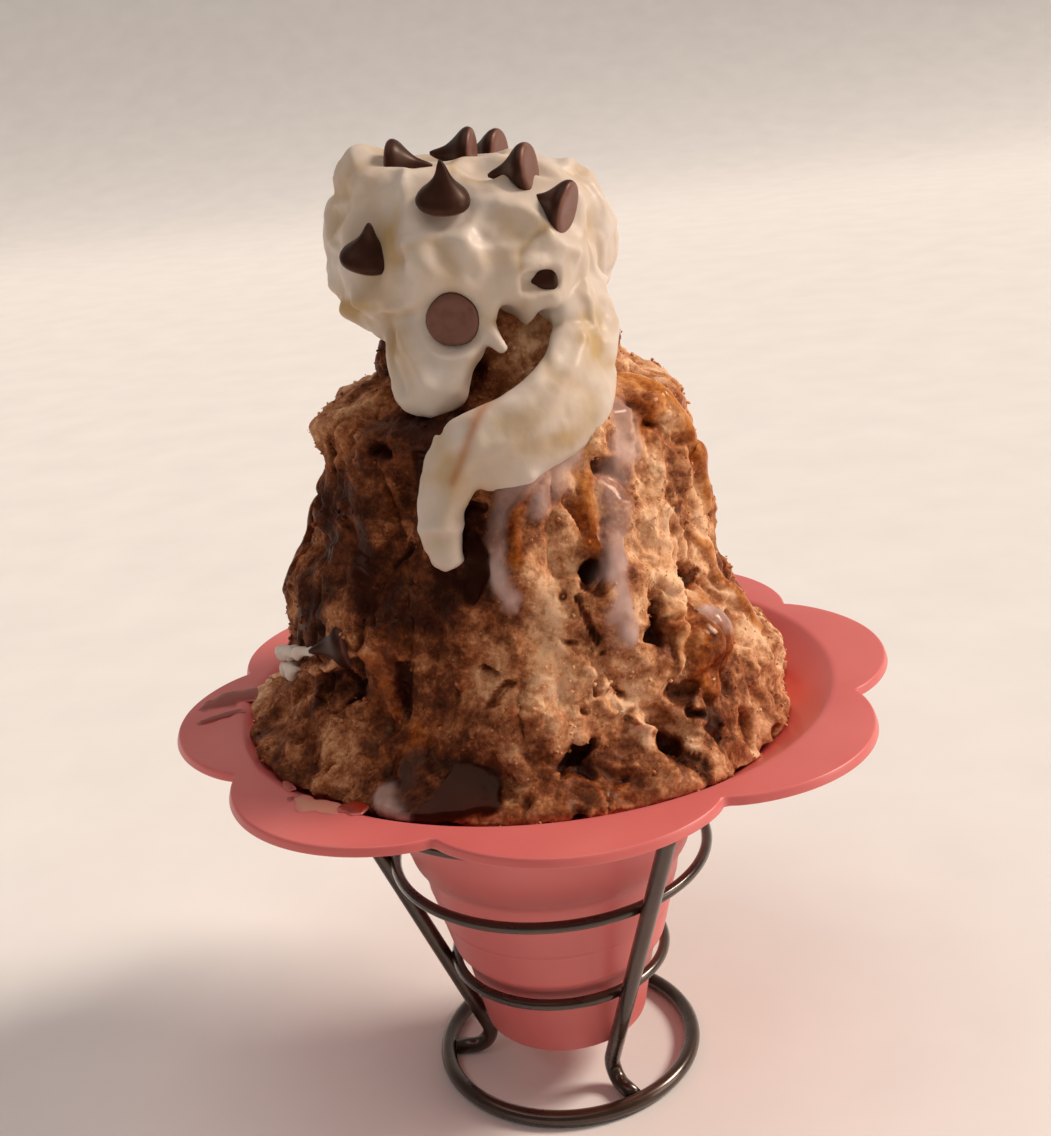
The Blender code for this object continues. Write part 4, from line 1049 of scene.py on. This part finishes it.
def makeCream():
    shapes = [closedTube(capRings())]
    shapes += [closedTube(runRings(cream[part])) for part in ("tongue", "ribbon", "tip")]
    shapes.append(closedTube(runRings(cream["spike"], 12)))
    mesh = meltTogether("whipped_cap", shapes, cream["voxel"])
    points = np.empty(len(mesh.vertices) * 3, np.float32)
    mesh.vertices.foreach_get("co", points)
    points = points.reshape(-1, 3) / mm
    normals = vertexNormals(mesh)
    swirl = points + 3.0 * np.stack([noise(points, 10, 81 + k) for k in range(3)], -1)
    crease = np.exp(-((noise(swirl, 12, 84) / 0.2) ** 2))
    crest = np.exp(-((noise(swirl, 9, 85) / 0.25) ** 2))
    lift = 0.5 * noise(points, 6.0, 12) + 0.28 * noise(points, 2.8, 13) + 0.16 * noise(points, 1.4, 14)
    lift = (lift + 0.9 * crest - 0.9 * crease) * (0.5 + 0.5 * smoothStep(points[:, 2] - rimZ, 74, 82))
    for knots, wide, high in cream["folds"]:
        lift = lift + 1.5 * high * np.exp(-((distanceTo(points, knots) / wide) ** 2))
    push = np.zeros(points.shape)
    for name, spot in chips["places"].items():
        tip = tipOf(spot)
        middle = np.array([spot[0], spot[1], spot[2] + rimZ])
        away = points - middle
        along = away @ tip
        beside = np.linalg.norm(away - along[:, None] * tip, axis=1)
        reach = np.hypot(beside, np.maximum(0, np.abs(along - 4.4) - 4.4))
        lift = lift * smoothStep(reach, 4.5, 8.5) + 0.35 * np.exp(-(((reach - 6.4) / 1.3) ** 2))
        lift = lift - spot[6] * np.exp(-((reach / 4.6) ** 4))
        if name == "disc":  # its flat base faces out, so the cream behind it sinks
            push = (np.clip(1.0 - along, 0, 9) * (1 - smoothStep(beside, 5.0, 6.4)) * (along > -9))[:, None] * tip
    outer = smoothStep(np.hypot(points[:, 0], points[:, 1]), 12, 18) + smoothStep(points[:, 2] - rimZ, 100, 105)
    # the slot through which the low chip shows, and the cream that covers the rest of it
    seen = np.stack([turnBetween(np.degrees(np.arctan2(points[:, 0], -points[:, 1])), 17.0) * 0.46, points[:, 2] - rimZ - 86.9], -1)
    slot = np.linalg.norm(seen / cream["slot"], axis=1, ord=4)
    lift = lift + 0.9 * np.exp(-((slot / 2.2) ** 4)) - 3.6 * (1 - smoothStep(slot, 0.7, 1.1))
    points = points + normals * (lift * np.clip(outer, 0, 1))[:, None] + push
    points = relaxed(points, mesh, 3)
    mesh.vertices.foreach_set("co", (points * mm).astype(np.float32).ravel())
    mesh.shade_smooth()
    azimuth = np.degrees(np.arctan2(points[:, 0], -points[:, 1]))
    z = points[:, 2] - rimZ
    drip = 0.6 * np.exp(-((distanceTo(points, cream["drip"]) / 0.9) ** 2))
    # creases get more of the darker, yellower tone and crests less: partly butter settled in the creases, partly
    # painted shade in them and painted light on the crests
    for key, base in (("butterAndShade", 0.3 + 0.35 * crease - 0.15 * crest), ("stain", drip)):
        layer = mesh.attributes.new(key, "FLOAT", "POINT")
        amount = base + softSpots(cream[key], azimuth, z) * (1 + 0.5 * noise(points, 3, 33))
        layer.data.foreach_set("value", np.clip(amount, 0, 1).astype(np.float32))
    mesh.materials.clear()
    mesh.materials.append(creamFinish)
    mesh.update()
    return addPiece("whipped_cap", mesh, ["whipped_cream"])


def makeDab():
    # the small two-lobed dab of cream beside the fallen chip
    lobes = [
        ((-79, 16.6, 51.4, 0.8, 0.9), (-74, 17.4, 50.4, 1.2, 1.2), (-67, 19.0, 49.2, 1.2, 1.3), (-60, 21.0, 48.2, 0.9, 0.9)),
        ((-76.5, 13.2, 51.0, 0.8, 0.8), (-73, 13.9, 50.4, 1.3, 1.2), (-68, 15.4, 49.4, 1.1, 1.1)),
    ]
    for side, knots in zip(("upper", "lower"), lobes):
        rings = runRings(knots, 20)
        rings = rings + 0.8 * noise(rings, 1.9, 19)[..., None] * (rings - rings.mean(1, keepdims=True))
        points, faces = closedTube(rings)
        addPiece(f"cream_dab_{side}", makeMesh(f"cream_dab_{side}", points, faces, creamFinish))


creamPiece = makeCream()
makeDab()
print("cream made", len(creamPiece.data.polygons))

# ---- loose grains of ice ----

grains = {"fine": (5200, 0.12, 0.26), "coarse": (1500, 0.25, 0.55)}  # how many, smallest and largest radius


def icosahedron():
    g = (1 + math.sqrt(5)) / 2
    points = np.array([(-1, g, 0), (1, g, 0), (-1, -g, 0), (1, -g, 0), (0, -1, g), (0, 1, g), (0, -1, -g), (0, 1, -g), (g, 0, -1), (g, 0, 1), (-g, 0, -1), (-g, 0, 1)])
    faces = np.array([(0, 11, 5), (0, 5, 1), (0, 1, 7), (0, 7, 10), (0, 10, 11), (1, 5, 9), (5, 11, 4), (11, 10, 2), (10, 7, 6), (7, 1, 8), (3, 9, 4), (3, 4, 2), (3, 2, 6), (3, 6, 8), (3, 8, 9), (4, 9, 5), (2, 4, 11), (6, 2, 10), (8, 6, 7), (9, 8, 1)])
    return points / math.hypot(1, g), faces


def makeGrains():
    # uneven many-sided grains, each with its own squash and turn, half sunk into the heap's skin
    shape, shapeFaces = icosahedron()
    rows = np.nonzero((iceLevels > -13) & (iceLevels < 79))[0]
    for name, (count, smallest, largest) in grains.items():
        row = rng.choice(rows, 3 * count)
        column = rng.integers(0, iceShape["columns"], 3 * count)
        dry = 1 - iceMaps["wet"][row, column] - 0.5 * iceMaps["gaps"][row, column]
        driest = np.argsort(dry + rng.normal(0, 0.35, 3 * count))[-count:]
        row, column = row[driest], column[driest]
        places = icePoints[row, column] + rng.normal(0, 0.15, (count, 3))
        size = smallest + (largest - smallest) * rng.random(count) ** 2
        squash = rng.uniform(0.6, 1.25, (count, 1, 3))
        bumps = rng.uniform(0.75, 1.2, (count, 12, 1))
        turns = np.linalg.qr(rng.normal(size=(count, 3, 3)))[0]
        turns *= np.sign(np.linalg.det(turns))[:, None, None]
        local = (shape[None] * bumps * squash) @ turns
        points = places[:, None] + iceNormals[row, column][:, None] * (0.35 * size)[:, None, None] + local * size[:, None, None]
        faces = (shapeFaces[None] + 12 * np.arange(count)[:, None, None]).reshape(-1, 3)
        values = {k: np.repeat(v[row, column], 12) for k, v in iceMaps.items() if k != "gaps"}
        values["chocolate"] = np.clip(values["chocolate"] - 0.06, 0, 1)
        mesh = makeMesh(f"ice_grains_{name}", points.reshape(-1, 3), faces, grainFinish, values)
        addPiece(f"ice_grains_{name}", mesh)


makeGrains()
print("grains made")

# ---- the camera, the floor and the light ----

cameraSetup = {
    "place": (0, -0.29125, 0.21646), "ahead": (0.0013, 0.94554, -0.32551), "up": (0.09881, 0.3238, 0.94095),
    "lens": 47.53,
}


def makeCamera():
    camera = bpy.data.cameras.new("camera")
    camera.lens = cameraSetup["lens"]
    camera.sensor_width = 36
    holder = bpy.data.objects.new("camera", camera)
    ahead = Vector(cameraSetup["ahead"]).normalized()
    side = ahead.cross(Vector(cameraSetup["up"])).normalized()
    up = side.cross(ahead)
    turn = Matrix((side, up, -ahead)).transposed().to_4x4()
    holder.matrix_world = Matrix.Translation(cameraSetup["place"]) @ turn
    bpy.context.scene.collection.objects.link(holder)
    bpy.context.scene.camera = holder


studio = {
    "floor": "F3F2F0",
    # lamps far off, as suns: azimuth, climb, softness in degrees, strength, colour
    "lamps": (
        (100, 38, 18, 2.6, "FFEDDD"),
        (78, 12, 30, 0.6, "FFEDDD"),
        (-50, 76, 60, 0.85, "FFF2EC"),
    ),
    "sky": ("F6ECE2", 0.14),
}


def makeStudio():
    # a pale floor that curves up far behind, lit by soft lamps
    run = np.linspace(-1, 1, 41)
    curve = np.concatenate([np.stack([np.linspace(-3, 2, 12), np.zeros(12)], -1),
                            np.stack([2 + np.sin(np.linspace(0.1, 1.57, 16)), 1 - np.cos(np.linspace(0.1, 1.57, 16))], -1),
                            [[3, 3]]])
    points = np.stack([np.broadcast_to(run[None, :] * 4, (len(curve), 41)),
                       np.broadcast_to(curve[:, :1], (len(curve), 41)),
                       np.broadcast_to(curve[:, 1:], (len(curve), 41))], -1).reshape(-1, 3) * 1000
    paper, shader = newMaterial("pale studio paper")
    place = addNode(paper, "TexCoord").outputs["Object"]
    fibre = addNode(paper, "TexNoise", {"Vector": place, "Scale": perMetre(40), "Detail": 3.0})
    tone = addNode(paper, "ValToRGB", {0: fibre.outputs["Fac"]}, ramp=((0.3, studio["floor"]), (0.7, "F8F7F5")))
    setShader(paper, shader, Base_Color=tone.outputs[0], Roughness=0.85)
    mesh = makeMesh("studioFloor", points, facesOfGrid(len(curve), 41, False), paper)
    floor = bpy.data.objects.new("studioFloor", mesh)
    bpy.context.scene.collection.objects.link(floor)
    for number, (azimuth, climb, softness, strength, colour) in enumerate(studio["lamps"]):
        lamp = bpy.data.lights.new(f"softLamp{number}", "SUN")
        lamp.angle = math.radians(softness)
        lamp.energy = strength
        lamp.color = linear(colour)[:3]
        a, e = math.radians(azimuth), math.radians(climb)
        way = Vector((math.sin(a) * math.cos(e), -math.cos(a) * math.cos(e), math.sin(e)))
        holder = bpy.data.objects.new(f"softLamp{number}", lamp)
        holder.location = way
        holder.rotation_mode = "QUATERNION"
        holder.rotation_quaternion = way.to_track_quat("Z", "Y")
        bpy.context.scene.collection.objects.link(holder)
    world = bpy.data.worlds.new("studio")
    world.use_nodes = True
    world.node_tree.nodes["Background"].inputs["Color"].default_value = linear(studio["sky"][0])
    world.node_tree.nodes["Background"].inputs["Strength"].default_value = studio["sky"][1]
    bpy.context.scene.world = world
    bpy.context.scene.view_settings.view_transform = "Standard"


makeCamera()
makeStudio()
print("studio made")

bpy.context.view_layer.update()
